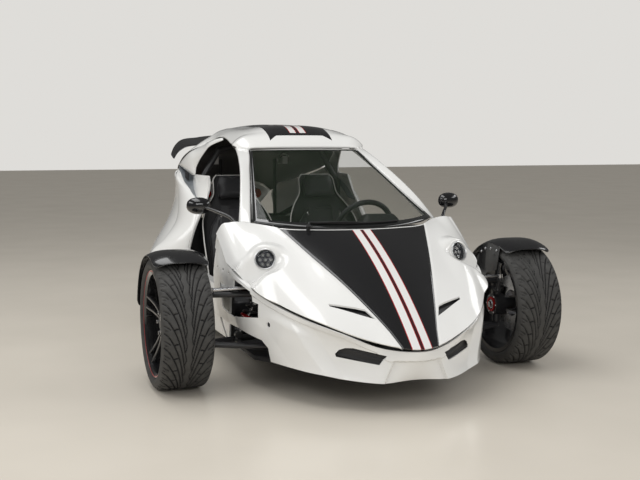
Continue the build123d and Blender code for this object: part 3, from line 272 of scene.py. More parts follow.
def skin_mesh(name, grid, wrap_rows=False, wrap_across=False, flip=False):
    """Mesh of a grid of points in axle millimetres; its faces are smooth."""
    grid = np.asarray(grid, float)
    n, m = grid.shape[:2]
    points = grid.reshape(-1, 3) / 1000
    points[:, 1] += AXLE_TO_ROW / 1000
    faces = []
    for i in range(n if wrap_rows else n - 1):
        for j in range(m if wrap_across else m - 1):
            a, b = i * m + j, i * m + (j + 1) % m
            c, d = ((i + 1) % n) * m + (j + 1) % m, ((i + 1) % n) * m + j
            faces.append((a, d, c, b) if flip else (a, b, c, d))
    mesh = bpy.data.meshes.new(name)
    mesh.from_pydata([tuple(p) for p in points], [], faces)
    smooth(mesh)
    mesh.update()
    return mesh


def smooth(mesh):
    mesh.polygons.foreach_set("use_smooth", [True] * len(mesh.polygons))


def edited(mesh, *changes):
    """Run changes on a mesh in its editable form."""
    work = bmesh.new()
    work.from_mesh(mesh)
    for change in changes:
        change(work)
    work.to_mesh(mesh)
    work.free()
    return mesh


def face_out(work):
    bmesh.ops.recalc_face_normals(work, faces=work.faces)


def weld(work, dist=MERGE):
    bmesh.ops.remove_doubles(work, verts=work.verts, dist=dist)


def close_ends(work):
    """Fill open ends and turn every face outwards."""
    bmesh.ops.holes_fill(work, edges=[e for e in work.edges if e.is_boundary], sides=0)
    face_out(work)


def turn_over(score):
    """A change that turns a sheet over if its faces score less than nothing in all."""
    def change(work):
        if sum(score(face) for face in work.faces) < 0:
            bmesh.ops.reverse_faces(work, faces=work.faces)
    return change


def soften(mesh, angle=32.0):
    """Smooth faces with sharp edges where the form turns by more than the angle."""
    def change(work):
        weld(work)
        for face in work.faces:
            face.smooth = True
        for edge in work.edges:
            edge.smooth = len(edge.link_faces) == 2 and edge.calc_face_angle(0.0) < radians(angle)
    return edited(mesh, change)


def thing(name, mesh, *surfaces):
    """Object for a mesh with its finishes, linked to the scene."""
    for surface in surfaces:
        mesh.materials.append(surface)
    made = bpy.data.objects.new(name, mesh)
    bpy.context.scene.collection.objects.link(made)
    return made


def bake(made):
    """Apply every modifier of an object."""
    bpy.context.view_layer.update()
    depsgraph = bpy.context.evaluated_depsgraph_get()
    result = bpy.data.meshes.new_from_object(made.evaluated_get(depsgraph), preserve_all_data_layers=True,
                                             depsgraph=depsgraph)
    made.modifiers.clear()
    old = made.data
    made.data = result
    result.name = made.name
    bpy.data.meshes.remove(old)
    return made


def modified(made, name, kind, **settings):
    """Add a modifier with its settings."""
    modifier = made.modifiers.new(name, kind)
    for key, value in settings.items():
        setattr(modifier, key, value)
    return modifier


def thicken(made, wall, offset=-1.0):
    """Give a skin its wall, in millimetres, on the side away from its faces."""
    modified(made, "wall", "SOLIDIFY", thickness=wall / 1000, offset=offset, use_even_offset=False)
    return bake(made)


def cut(made, *cutters):
    """Cut other meshes out of a piece and drop them."""
    for cutter in cutters:
        modified(made, "cut", "BOOLEAN", operation="DIFFERENCE", solver="EXACT", object=cutter)
    bake(made)
    for cutter in cutters:
        bpy.data.objects.remove(cutter)
    return made


def part(made, body, slot, *nodes, finish=None):
    """Put a finished piece on its body and hide the nodes that it stands for; its slot is not used."""
    if finish is not None:
        made.data.materials.clear()
        made.data.materials.append(finish)
    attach(made, body)
    if nodes:
        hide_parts(*nodes)
    return made


def joined(name, pieces):
    """One object from several, with its materials kept."""
    work = bmesh.new()
    surfaces = []
    for piece in pieces:
        start = len(work.faces)
        work.from_mesh(piece.data)
        work.faces.ensure_lookup_table()
        remap = []
        for surface in piece.data.materials:
            if surface not in surfaces:
                surfaces.append(surface)
            remap.append(surfaces.index(surface))
        for face in work.faces[start:]:
            face.material_index = remap[min(face.material_index, len(remap) - 1)] if remap else 0
        bpy.data.objects.remove(piece)
    mesh = bpy.data.meshes.new(name)
    work.to_mesh(mesh)
    work.free()
    return thing(name, mesh, *surfaces)


def both(make):
    """Run a maker for the left side (+1) and the right side (-1)."""
    return [make(side) for side, _ in SIDES]


# %% Shapes
def about(axis):
    """An axis with two directions across it."""
    axis = Vector(axis).normalized()
    side = axis.orthogonal().normalized()
    return axis, side, axis.cross(side)


def hull(name, rings, angle, *surfaces):
    """Closed piece whose skin runs through rings of points, from one end to the other."""
    return thing(name, soften(edited(skin_mesh(name, rings, wrap_across=True), close_ends), angle), *surfaces)


def tube(name, points, radius, sides, *surfaces, closed=False):
    """Round tube along points in axle millimetres, with its ends closed."""
    points = [Vector(p) for p in points]
    rings = []
    side = None
    for k, p in enumerate(points):
        ahead = points[(k + 1) % len(points)] if closed or k + 1 < len(points) else p
        behind = points[k - 1] if closed or k else p
        along = (ahead - behind).normalized()
        if side is None:
            side = along.orthogonal().normalized()
        side = (side - along * side.dot(along)).normalized()
        other = along.cross(side)
        reach = radius if np.isscalar(radius) else radius[k]
        rings.append([tuple(p + (side * cos(2 * pi * j / sides) + other * sin(2 * pi * j / sides)) * reach)
                      for j in range(sides)])
    mesh = skin_mesh(name, rings, wrap_rows=closed, wrap_across=True)
    return thing(name, mesh if closed else edited(mesh, close_ends), *surfaces)


def turned(name, profile, at, axis, sides, *surfaces):
    """Turned piece: (along, radius) profile in millimetres, revolved about an axis through a point."""
    axis, side, other = about(axis)
    grid = [[tuple(Vector(at) + axis * a
                   + (side * cos(2 * pi * k / sides) + other * sin(2 * pi * k / sides)) * r)
             for k in range(sides)] for a, r in profile]
    mesh = edited(skin_mesh(name, grid, wrap_across=True), partial(weld, dist=1e-6), close_ends)
    return thing(name, soften(mesh, 30), *surfaces)


def block(name, size, at, bevel, *surfaces):
    """Box of a size in millimetres about a point, with its edges rounded."""
    work = bmesh.new()
    bmesh.ops.create_cube(work, size=1.0)
    bmesh.ops.scale(work, vec=Vector(size) / 1000, verts=work.verts)
    bmesh.ops.bevel(work, geom=list(work.edges), offset=bevel / 1000, segments=2, profile=0.5, affect="EDGES")
    bmesh.ops.translate(work, vec=row(*at), verts=work.verts)
    mesh = bpy.data.meshes.new(name)
    work.to_mesh(mesh)
    work.free()
    return thing(name, soften(mesh, 50), *surfaces)


def solid_between(name, points, *surfaces):
    """Block whose first half of points is one end and whose second half is the other."""
    n = len(points) // 2
    faces = [tuple(range(n))[::-1], tuple(range(n, 2 * n))]
    faces += [(k, (k + 1) % n, n + (k + 1) % n, n + k) for k in range(n)]
    mesh = bpy.data.meshes.new(name)
    mesh.from_pydata(points, [], faces)
    return thing(name, edited(mesh, face_out), *surfaces)


def prism(name, outline, axis, low, high, *surfaces):
    """Block over an outline seen along an axis (0 across, 1 along, 2 up), between two places on it."""
    points = [row(*pair[:axis], level, *pair[axis:]) for level in (low, high) for pair in outline]
    return solid_between(name, points, *surfaces)


# %% [markdown]
# ## Finishes
# Paint, rubber, leather and metal differ in three things: their colour, how sharp their reflections are, and
# the fine relief that breaks those reflections up. `finish` builds a shader with a noise for the colour's
# small variation and another for the relief, both read from the object's own coordinates.

# %% Finishes
def finish(name, colour, rough, metal=0.0, coat=0.0, vary=0.06, vary_scale=9.0, relief=0.0,
           relief_scale=400.0, rough_vary=0.04, alpha=1.0, sheen=0.0):
    """A general surface: colour with soft variation, roughness with soft variation and fine relief."""
    material, tree, shader = material_of(name, {"Metallic": metal, "Coat Weight": coat,
                                                "Coat Roughness": 0.03, "Sheen Weight": sheen,
                                                "Alpha": alpha})
    place = object_place(tree)
    cloud = node(tree, "TexNoise", {"Scale": vary_scale, "Detail": 4, "Vector": place}).outputs["Fac"]
    shades = [(0.3, [c * (1 - vary) for c in colour]), (0.7, [min(1, c * (1 + vary)) for c in colour])]
    gloss = map_to(tree, cloud, max(0.02, rough - rough_vary), min(1.0, rough + rough_vary))
    plug(tree, shader, {"Base Color": ramp(tree, cloud, shades), "Roughness": gloss})
    if relief:
        grain = node(tree, "TexNoise", {"Scale": relief_scale, "Detail": 3, "Vector": place}).outputs["Fac"]
        bump = node(tree, "Bump", {"Strength": relief, "Distance": 0.001, "Height": grain})
        plug(tree, shader, {"Normal": bump.outputs["Normal"]})
    return material


def see_through(name, colour, alpha, rough=0.03):
    """Thin clear or tinted glass: mostly open, with a sharp reflection."""
    material = finish(name, colour, rough, vary=0.02, rough_vary=0.01, alpha=alpha, coat=1.0)
    material.surface_render_method = "BLENDED"
    return material


WHITE = finish("white_gelcoat", (0.80, 0.80, 0.785), 0.22, coat=0.7, vary=0.012, vary_scale=2.0, relief=0.012,
               relief_scale=260.0, rough_vary=0.03)
BLACK_PAINT = finish("black_lacquer", (0.012, 0.012, 0.013), 0.16, coat=0.8, vary=0.1, vary_scale=3.0)
GUARD_PAINT = finish("guard_lacquer", (0.014, 0.014, 0.015), 0.20, coat=0.6, vary=0.12, vary_scale=6.0)
SATIN_BLACK = finish("satin_black_steel", (0.022, 0.022, 0.024), 0.36, coat=0.15, vary=0.15, relief=0.04,
                     relief_scale=700.0)
RUBBER = finish("tyre_rubber", (0.050, 0.049, 0.047), 0.66, vary=0.22, vary_scale=30.0, relief=0.18,
                relief_scale=900.0)
MOULDED = finish("moulded_black", (0.020, 0.020, 0.021), 0.5, vary=0.1, relief=0.25, relief_scale=1100.0)
LEATHER = finish("seat_vinyl", (0.018, 0.018, 0.020), 0.46, vary=0.18, vary_scale=14.0, relief=0.4,
                 relief_scale=620.0, sheen=0.1)
PIPING = finish("seat_piping", (0.62, 0.61, 0.58), 0.5, vary=0.05, relief=0.2, relief_scale=1500.0)
CAST = finish("cast_alloy", (0.42, 0.43, 0.45), 0.42, metal=0.9, vary=0.1, relief=0.3, relief_scale=500.0)
STEEL = finish("machined_steel", (0.56, 0.56, 0.57), 0.26, metal=1.0, vary=0.06, relief=0.05,
               relief_scale=900.0)
CHROME = finish("polished_chrome", (0.78, 0.78, 0.79), 0.06, metal=1.0, vary=0.02, rough_vary=0.02)
RED_ANODISED = finish("red_anodised", (0.42, 0.012, 0.014), 0.28, metal=0.75, vary=0.08)
RED_PAINT = finish("red_pinstripe", (0.46, 0.02, 0.02), 0.3, coat=0.4, vary=0.05)
ENGINE_GREY = finish("engine_casting", (0.16, 0.16, 0.17), 0.55, metal=0.6, vary=0.15, relief=0.4,
                     relief_scale=300.0)
# The scoop's grey is partly its own grey finish and partly painted shade of its recess.
SCOOP_GREY_AND_SHADE = finish("scoop_grey", (0.16, 0.175, 0.19), 0.35, coat=0.3, vary=0.08)
# Near-black: painted shade in the tyre grooves and the scoop slot, and the dials' own black.
DARK = finish("shaded_inside", (0.008, 0.008, 0.009), 0.8, vary=0.1)
TAIL_RED = finish("tail_lens", (0.42, 0.012, 0.012), 0.12, coat=0.8, vary=0.05)
WEBBING = finish("belt_webbing", (0.022, 0.022, 0.023), 0.72, vary=0.2, vary_scale=60.0, relief=0.6,
                 relief_scale=1500.0)
LAMP_GLASS = see_through("lamp_cover", (0.10, 0.11, 0.12), 0.10)
LAMP_INSIDE = finish("lamp_inside", (0.07, 0.07, 0.08), 0.25, metal=0.6, vary=0.05)
BEZEL = finish("lamp_bezel", (0.80, 0.81, 0.82), 0.34, metal=0.85, vary=0.03)
BULB = finish("lamp_bulb", (0.75, 0.75, 0.72), 0.15, coat=0.5, vary=0.02)
print("finishes", len(bpy.data.materials))


# %% [markdown]
# ## The front body
# The real front is a fibreglass shell laid in one mould: a black tapering hood between two white wings, whose
# outer edge is a crisp crease above the bumper. It could be sculpted, but a table of cross sections keeps it
# true to the frame. Each row below lies at one distance from the middle and holds its front, middle and rear
# point.

# %% Hood and wing surface
HOOD_ROWS = [
    (0, (-830, 285), (-487, 542), (-95, 740)),
    (212, (-737, 318), (-490, 502), (-65, 741)),
    (360, (-635, 372), (-260, 600), (-8, 745)),
    (507, (-420, 437), (-162, 626), (135, 764)),
    (600, (-250, 500), (-40, 640), (168, 766)),
    (634, (-66, 561), (54, 661), (190, 751)),
    (650, (20, 590), (108, 652), (212, 712)),
]
HOOD_EDGE = [(72, -850), (112, -731), (159, -613), (207, -490), (257, -360), (308, -222), (353, -93),
             (388, 9), (404, 60)]
LAMP_AT = Vector((507, -150, 620))
LAMP_AIM = Vector((0.34, -0.90, 0.28)).normalized()
LAMP_R = 52.0
HALF_WIDE, HOOD_GAP, SHELL_WALL = 650, 1.8, 6.0


def hood_point(x, s):
    """Points of the front shell at distances x from the middle and shares s of the way up each section."""
    shares = np.unique(np.concatenate([[0, 1], s]))
    keys, rows = [], []
    for sign, table in ((-1, HOOD_ROWS[:0:-1]), (1, HOOD_ROWS)):
        for reach, *section in table:
            keys.append(sign * reach)
            rows.append(arc_points(*[(sign * reach, y, z) for y, z in section], shares))
    grid = fair(keys, np.array(rows), x)
    return grid[:, np.searchsorted(shares, s)]


def edge_reach(y):
    """Half width of the black hood at a distance behind the axle."""
    wide, along = zip(*HOOD_EDGE)
    return np.interp(y, along, wide)


def hood_edge_line(shares, side):
    """Where the hood meets the wing, one point per share."""
    line = []
    for s in shares:
        x = 200.0
        for _ in range(30):
            x = float(edge_reach(hood_point([side * x], [s])[0, 0, 1]))
        line.append(side * x)
    return np.array(line)


def hood_grid(reach, shares):
    """Grid whose rows follow lines of equal share between two edges; reach has one x per row and column."""
    dense = np.linspace(-HALF_WIDE, HALF_WIDE, 261)
    field = hood_point(dense, shares)
    grid = np.zeros((reach.shape[0], len(shares), 3))
    for j in range(len(shares)):
        for axis in range(3):
            grid[:, j, axis] = np.interp(reach[:, j], dense, field[:, j, axis])
    return grid


SHARES = np.linspace(0, 1, 121)
EDGE = hood_edge_line(SHARES, 1)
print("hood half width from", round(EDGE[0]), "to", round(EDGE[-1]), "mm")

# %% [markdown]
# The lamps look out of teardrop pods that rise from the wings, each with a ridge that runs down towards the
# nose. Points near a lamp are drawn onto the plane of its bezel, and the reach of that pull is longer on the
# nose side, which gives the drop its tail.

# %% Wings with their lamp pods
def lamp_frame(side):
    """Centre, aim, outboard and up directions of one lamp."""
    at = np.array([side * LAMP_AT.x, LAMP_AT.y, LAMP_AT.z])
    aim = np.array([side * LAMP_AIM.x, LAMP_AIM.y, LAMP_AIM.z])
    across = np.cross([0, 0, 1], aim)
    across = across / np.linalg.norm(across) * -side
    return at, aim, across, np.cross(aim, across) * -side


def shape_pod(grid, side):
    """Raise the lamp's pod out of a wing, with the tail of the drop towards the nose."""
    at, aim, outboard, up = lamp_frame(side)
    away = grid - at
    height = away @ aim
    a, b = away @ outboard, away @ up
    r = np.hypot(a, b) + 1e-6
    turn = np.clip((-a * 0.72 - b * 0.70) / r, 0, 1)
    outer = np.clip(a / r, 0, 1)
    core = LAMP_R + 6 + 95 * turn ** 7
    fall = 34 + 70 * turn ** 4 + 26 * outer ** 2
    pull = smoothstep(1 - (r - core) / fall)
    pull = np.where(np.abs(height) > 150, 0, pull)
    target = np.where(turn > 0.5, -3 - 0.09 * np.maximum(r - LAMP_R, 0), -3)
    return grid + aim * ((target - height) * pull)[..., None]


def wing_skin(side):
    """White front wing from the hood's edge to the crease, which dips a little where it meets the hood."""
    across = np.concatenate([[0, 0.012, 0.03], np.linspace(0.05, 1, 84)])
    start = EDGE + HOOD_GAP
    grid = shape_pod(hood_grid(side * (start + (HALF_WIDE - start) * across[:, None]), SHARES), side)
    grid[0, :, 2] -= 5.0
    grid[1, :, 2] -= 1.2
    return thicken(thing("wing_skin", skin_mesh("wing_skin", grid, flip=side < 0)), SHELL_WALL)


def wing(side):
    """One wing with the holes of its lamp and its vent."""
    at, aim, _, _ = lamp_frame(side)
    hole = turned("lamp_hole", [(-90, 0.01), (-90, LAMP_R - 3), (40, LAMP_R - 3), (40, 0.01)], at, aim, 72)
    vent = prism("vent_hole", [(side * x, y) for x, y in VENT], 2, *VENT_HEIGHTS)
    made = cut(wing_skin(side), hole, vent)
    soften(made.data, 38)
    return made


VENT = [(151, -668), (323, -542), (325, -526), (215, -586), (180, -609)]
VENT_HEIGHTS = 280, 560
front_wings = joined("front_wing_skins", both(wing))
part(front_wings, "chassis", "body_white", "front_wings", finish=WHITE)
print("wings", len(front_wings.data.polygons), "faces")

# %% [markdown]
# The hood carries two white stripes with thin red edges. On the real car they are paint under the lacquer, so
# they belong in the material and not in the mesh. The shader measures the distance from the middle plane in
# Object coordinates, and a colour ramp with hard steps turns that distance into bands.

# %% Striped paint
INK, SNOW, PIN, SEAM = (0.012, 0.012, 0.013), (0.78, 0.78, 0.765), (0.42, 0.012, 0.012), (0.05, 0.01, 0.012)


def striped_paint(name, bands, widest):
    """Gloss paint in bands that start at distances (mm) from the middle, and the parts of its graph."""
    material, tree, shader = material_of(name, {"Coat Weight": 0.8, "Coat Roughness": 0.03})
    place = object_place(tree)
    split = node(tree, "SeparateXYZ", {"Vector": place}).outputs
    reach = reckon(tree, "ABSOLUTE", split["X"])
    share = node(tree, "MapRange", {"From Max": widest, "Value": reach}).outputs["Result"]
    stripes = ramp(tree, share, [(start / 1000 / widest, colour) for start, colour in bands], "CONSTANT")
    cloud = node(tree, "TexNoise", {"Scale": 5.0, "Vector": place}).outputs["Fac"]
    plug(tree, shader, {"Base Color": stripes, "Roughness": map_to(tree, cloud, 0.13, 0.20)})
    return material, tree, shader, stripes, reach, split["Y"]


HOOD_PAINT = striped_paint("hood_lacquer", [(0, SEAM), (6.5, PIN), (9, SNOW), (45, PIN), (48.5, INK)], 0.1)[0]

# %% Hood panel
RIM_FROM, COWL_SHARE = 0.982, 0.986
across = np.linspace(-1, 1, 97)
lid = hood_grid(across[:, None] * (EDGE - HOOD_GAP), SHARES)
lid[..., 2] -= 1.5 + 3.5 * smoothstep((np.abs(across) - RIM_FROM) / (1 - RIM_FROM))[:, None]
hood_lid = thicken(thing("hood_lid", skin_mesh("hood_lid", lid)), SHELL_WALL)
soften(hood_lid.data, 38)
part(hood_lid, "chassis", "body_black", "hood", finish=HOOD_PAINT)
hood_lid.data.materials.append(WHITE)
strips = np.linspace(-400, 400, 81)
cowl_line = hood_point(strips, [COWL_SHARE])[:, 0, 1]
for face in hood_lid.data.polygons:
    if face.center.y * 1000 - AXLE_TO_ROW > np.interp(face.center.x * 1000, strips, cowl_line):
        face.material_index = 1
print("hood", len(hood_lid.data.polygons), "faces")

# %% [markdown]
# ## The bumper and the body sides
# Below the crease the shell turns under towards the ground. It carries a raised band along the crease, a
# ridge that runs down from each side, two air intakes, a recess for the number plate and the holes where the
# suspension arms pass. The surface is a table again; its relief is worked out from the distance to each
# feature.

# %% Bumper surface
NOSE_ROWS = [
    (0, -830, 0, (0, 274), (-14, 205), (-59, 129)),
    (135, -762, 22, (0, 280), (8, 212), (14, 132)),
    (321, -672, 36, (0, 345), (-34, 250), (-14, 142)),
    (458, -504, 52, (0, 398), (-12, 285), (-8, 158)),
    (560, -320, 66, (0, 458), (2, 320), (-22, 166)),
    (640, -120, 80, (-2, 538), (-2, 350), (-58, 163)),
    (650, 20, 90, (-3, 588), (-2, 362), (-60, 159)),
    (650, 108, 90, (-3, 650), (-2, 378), (-64, 156)),
    (650, 200, 90, (-4, 700), (-3, 384), (-65, 153)),
    (650, 252, 90, (-7, 700), (-4, 388), (-66, 151)),
    (650, 285, 90, (-9, 655), (-4, 390), (-66, 150)),
]
RIDGE = ((483, 371), (449, 317), (408, 241), (367, 164))
PLATE_TOP, PLATE_LOW = (112, 234), (150, 136)
INTAKE = [(165, 211), (322, 234), (325, 247), (312, 266), (290, 277), (262, 279), (137, 252)]
UPPER_HOLE = [(-284, 366), (-278, 428), (-242, 436), (-230, 482), (-160, 508), (-78, 524), (-78, 478),
              (134, 478), (134, 352), (-60, 340)]
LOWER_HOLE = [(-330, 165), (-330, 230), (-296, 262), (-110, 292), (150, 285), (260, 285), (260, 160)]


def nose_rows():
    rows = []
    for x, y, heading, *levels in NOSE_ROWS:
        turn = radians(heading)
        rows.append([(x + off * sin(turn), y - off * cos(turn), z) for off, z in levels])
    half = np.array(rows, float)
    other = half[:0:-1].copy()
    other[..., 0] *= -1
    return np.concatenate([other, half])


def inside_line(px, pz, a, b):
    """Distance of points to the inner side of a line from a to b."""
    dx, dz = b[0] - a[0], b[1] - a[1]
    return ((px - a[0]) * dz - (pz - a[1]) * dx) / hypot(dx, dz)


def nose_relief(grid):
    """How far each point stands off: band under the crease, ridge down each side and recess of the plate."""
    depth = np.linalg.norm(np.diff(grid, axis=1, prepend=grid[:, :1]), axis=2).cumsum(axis=1)
    px, pz = np.abs(grid[..., 0]), grid[..., 2]
    band = 22.0 + 26.0 * smoothstep((190 - px) / 60)
    relief = -6.0 * smoothstep((depth - band) / 5) * (1 - smoothstep((depth - band - 20) / 110))
    ridge, level = zip(*RIDGE[::-1])
    off = px - np.interp(pz, level, ridge)
    slope = 1 - np.where(off > 0, off / 105, -off / 60)
    relief += smoothstep((depth - 26) / 50) * 18.0 * np.maximum(0, slope) ** 1.15
    plate = smoothstep(-inside_line(px, pz, PLATE_LOW, PLATE_TOP) / 5) * smoothstep((PLATE_TOP[1] - pz) / 5)
    return relief - 13.0 * plate


rows = nose_rows()
stations = fair_line(rows, 521, measured=rows[:, 0])
down = np.concatenate([np.linspace(0, 0.2, 17)[:-1], np.linspace(0.2, 1, 44)])
bumper = np.array([arc_points(*station, down) for station in stations])
normal = np.cross(np.gradient(bumper, axis=0), np.gradient(bumper, axis=1))
normal /= np.linalg.norm(normal, axis=2, keepdims=True)
normal *= np.sign((normal * (bumper - np.array([0, 300, 300]))).sum(2, keepdims=True))
bumper += normal * nose_relief(bumper)[..., None]
forwards = turn_over(lambda face: -face.normal.y * (abs(face.calc_center_median().x) < 0.1))
nose_shell = thicken(thing("nose_skin", edited(skin_mesh("nose_skin", bumper), forwards)), SHELL_WALL)
print("bumper", len(nose_shell.data.polygons), "faces")

# %% Openings in the bumper
ROUND_HOLE, BOLT_HOLE = circle((-346, 342), 12, 20), [(10 * a, 8 * b) for a, b in circle((0, 0), 1, 12)]
cutters = []
for side, _ in SIDES:
    cutters.append(prism("arm_hole", UPPER_HOLE, 0, side * 470, side * 800))
    cutters.append(prism("low_hole", LOWER_HOLE, 0, side * 470, side * 800))
    cutters.append(prism("intake_hole", [(side * x, z) for x, z in INTAKE], 1, -900, -560))
    cutters.append(prism("round_hole", ROUND_HOLE, 0, side * 500, side * 700))
    for k in range(3):
        outline = [(172 - 84 * k + y, 551 - 4 * k + z) for y, z in BOLT_HOLE]
        cutters.append(prism("bolt_hole", outline, 0, side * 560, side * 760))
cut(nose_shell, *cutters)
soften(nose_shell.data, 30)
part(nose_shell, "chassis", "body_white", "nose", finish=WHITE)
print("openings cut", len(cutters))

# %% [markdown]
# ## The rear quarters
# Behind each door opening the body swells into a haunch: the door pillar, a broad face that turns into the
# outer blade, an air scoop whose grey is partly its own finish and partly painted shade of its recess, with a
# near-black slot of painted shade, and the flank that carries the roof down. They are drawn as patches
# between two edge lines each, with a bulge in the middle, because a maker lays up such panels the same way.

# %% Patches between two lines
def patch(first, second, bulge, count, power=1.0):
    """Skin between two lines of points; the middle stands off by the bulge vector."""
    a, b = np.array(first, float), np.array(second, float)
    steps = np.linspace(0, 1, count[0])
    a = fair(np.linspace(0, 1, len(a)), a, steps)
    b = fair(np.linspace(0, 1, len(b)), b, steps)
    t = np.linspace(0, 1, count[1])
    rise = (4 * t * (1 - t)) ** power
    ends = np.minimum(1, np.minimum(steps, 1 - steps) / 0.08) ** 0.6
    return (a[:, None] * (1 - t)[None, :, None] + b[:, None] * t[None, :, None]
            + np.array(bulge, float) * (rise[None, :] * ends[:, None])[..., None])


HAUNCH_OUT = [(640, 1290, 152), (722, 1338, 300), (776, 1408, 473), (692, 1384, 580), (607, 1454, 681),
              (574, 1529, 795), (560, 1640, 880), (557, 1700, 938), (520, 1780, 985)]
HAUNCH_IN = [(606, 1158, 152), (606, 1170, 300), (599, 1186, 473), (580, 1194, 580), (542, 1200, 681),
             (512, 1256, 790), (520, 1400, 862), (532, 1540, 912), (524, 1700, 968)]
FLANK_OUT = [(364, 1225, 1188), (383, 1400, 1170), (404, 1500, 1148), (440, 1560, 1124), (480, 1625, 1094),
             (500, 1720, 1055), (509, 1812, 1012)]
FLANK_IN = [(368, 1210, 1172), (424, 1300, 1138), (441, 1370, 1102), (456, 1440, 1056), (467, 1500, 1006),
            (474, 1520, 955), (484, 1640, 962)]
SCOOP_OUT = [(514, 1262, 800), (522, 1404, 866), (530, 1542, 914), (524, 1700, 968), (512, 1800, 1004)]
SCOOP_IN = [(508, 1262, 800), (494, 1340, 868), (482, 1450, 912), (478, 1560, 950), (490, 1700, 1000)]
PILLAR_FRONT = [(600, 1146, 152), (600, 1160, 300), (594, 1176, 430), (582, 1188, 521), (548, 1194, 640),
                (514, 1198, 728), (474, 1198, 824), (450, 1240, 952)]
PILLAR_BACK = [(608, 1164, 152), (608, 1174, 300), (603, 1188, 430), (590, 1196, 521), (562, 1200, 640),
               (532, 1226, 735), (508, 1290, 826), (474, 1490, 952)]


PATCHES = [("haunch", HAUNCH_OUT, HAUNCH_IN, (20, -26, 2), (80, 30), 0.8, WHITE),
           ("flank", FLANK_OUT, FLANK_IN, (14, -8, 8), (60, 22), 0.8, WHITE),
           ("scoop", SCOOP_OUT, SCOOP_IN, (-34, 46, -6), (50, 26), 0.9, SCOOP_GREY_AND_SHADE),
           ("pillar_face", PILLAR_FRONT, PILLAR_BACK, (5, -6, 0), (70, 16), 0.8, WHITE)]
SLOT_OUT, SLOT_IN = [(505, 1640, 985), (515, 1590, 938)], [(488, 1600, 962), (500, 1560, 920)]


def quarter(side):
    """Skins of one rear quarter, in white, with a scoop whose grey is partly painted shade and a slot of
    painted shade.
    """
    outwards = Vector((side * 0.7, -0.6, 0.25))
    turn = turn_over(lambda face: face.normal.dot(outwards) * face.calc_area())
    made = []
    for name, first, second, bulge, count, power, colour in PATCHES:
        grid = patch(first, second, bulge, count, power) * (side, 1, 1)
        made.append(thicken(thing(name, edited(skin_mesh(name, grid), turn), colour), 5.0))
    # The slot is a near-black sheet: painted shade of the intake opening.
    grid = patch(SLOT_OUT, SLOT_IN, (6, -8, 0), (10, 10)) + np.array([0.5, -0.8, 0.1]) * 3
    made.append(thicken(thing("slot", skin_mesh("slot", grid * (side, 1, 1)), DARK), 3.0, 0.0))
    return made


pods = thing("pod_walls", soften(frame["nodes"]["side_pods"].data.copy(), 34))
pods.data.materials.clear()
pods.data.materials.append(WHITE)
quarters = joined("quarter_panels", [pods, *sum(both(quarter), [])])
soften(quarters.data, 40)
part(quarters, "chassis", "body_white", "side_pods")
print("quarters", len(quarters.data.polygons), "faces")

# %% [markdown]
# ## The canopy
# One white moulding frames the windscreen: two broad pillars, a steep header and the roof, which sweeps down
# into the tail. Lofts alone meet in hard corners, and a real moulding has blended ones. So the pieces are
# lofted apart, melted into one skin by a fine voxel remesh, and relaxed until the corners are round.

# %% Canopy and tail surface
ROOF_ROWS = [
    (806, (330, 1119), (300, 1122), (230, 1124), (120, 1125), (0, 1125)),
    (838, (356, 1124), (326, 1141), (255, 1151), (135, 1156), (0, 1157)),
    (868, (378, 1131), (352, 1155), (290, 1172), (150, 1178), (0, 1179)),
    (950, (374, 1142), (345, 1171), (270, 1200), (150, 1216), (0, 1220)),
    (1250, (364, 1182), (338, 1202), (255, 1225), (150, 1239), (0, 1244)),
    (1500, (400, 1142), (362, 1186), (262, 1226), (150, 1245), (0, 1252)),
    (1620, (478, 1095), (410, 1148), (300, 1206), (150, 1235), (0, 1245)),
    (1820, (505, 1010), (440, 1060), (320, 1100), (160, 1120), (0, 1126)),
    (2100, (440, 930), (380, 975), (270, 1015), (140, 1038), (0, 1046)),
    (2450, (290, 800), (260, 830), (200, 858), (110, 875), (0, 880)),
]
PILLAR_ROWS = [
    ((493, 150, 766), (540, 195, 762)),
    ((432, 373, 894), (488, 362, 895)),
    ((373, 597, 1016), (421, 619, 1037)),
    ((322, 800, 1117), (378, 868, 1131)),
    ((316, 890, 1148), (371, 960, 1144)),
]


def roof_section(y, half):
    """Cross section through both sides, smooth between its points."""
    points = [(x, y, z) for x, z in half] + [(-x, y, z) for x, z in half[-2::-1]]
    parts = [arc_points(*points[k:k + 3], np.linspace(0, 1, 13)) for k in range(0, 8, 2)]
    return np.concatenate([parts[0]] + [p[1:] for p in parts[1:]])


def roof_grid(y0, y1, count):
    keys = [y for y, *_ in ROOF_ROWS]
    sections = np.array([roof_section(y, half) for y, *half in ROOF_ROWS])
    return fair(keys, sections, np.linspace(y0, y1, count))


def melt(made, voxel, rounds):
    """Voxel remesh a piece and relax it."""
    modified(made, "melt", "REMESH", mode="VOXEL", voxel_size=voxel / 1000)
    modified(made, "relax", "SMOOTH", iterations=rounds, factor=0.5)
    smooth(bake(made).data)
    return made


def pillar(side):
    """Rounded bar from the cowl corner up to the roof, fuller on its outer side."""
    back = np.array([-0.25, 0.75, -0.6]) * 34
    rings = []
    for a, b in fair_line(PILLAR_ROWS, 60, measured=[a for a, b in PILLAR_ROWS]):
        width = b - a
        out = np.cross(width, back)
        out = out / np.linalg.norm(out) * (1 if out @ np.array([0.4, -0.6, 0.7]) > 0 else -1)
        ring = [a, a + width * 0.35 + out * 5, a + width * 0.7 + out * 5, b - back * 0.02,
                b + back * 0.35 + width * 0.12, b + back * 0.75 + width * 0.02, b + back * 0.95 - width * 0.2,
                a + back * 0.95 + width * 0.15, a + back * 0.6]
        rings.append([(side * p[0], p[1], p[2]) for p in ring])
    return hull("pillar", rings, 40)


# %% Paint with the black roof panel
PANEL_HALF, PANEL_TAPER_FROM, PANEL_TAPER = 0.186, 0.535, 0.09
NOTCH_HALF, NOTCH_SLOPE, PANEL_FRONT, STRIPES_FRONT = 0.140, -0.85, -0.089, -0.062


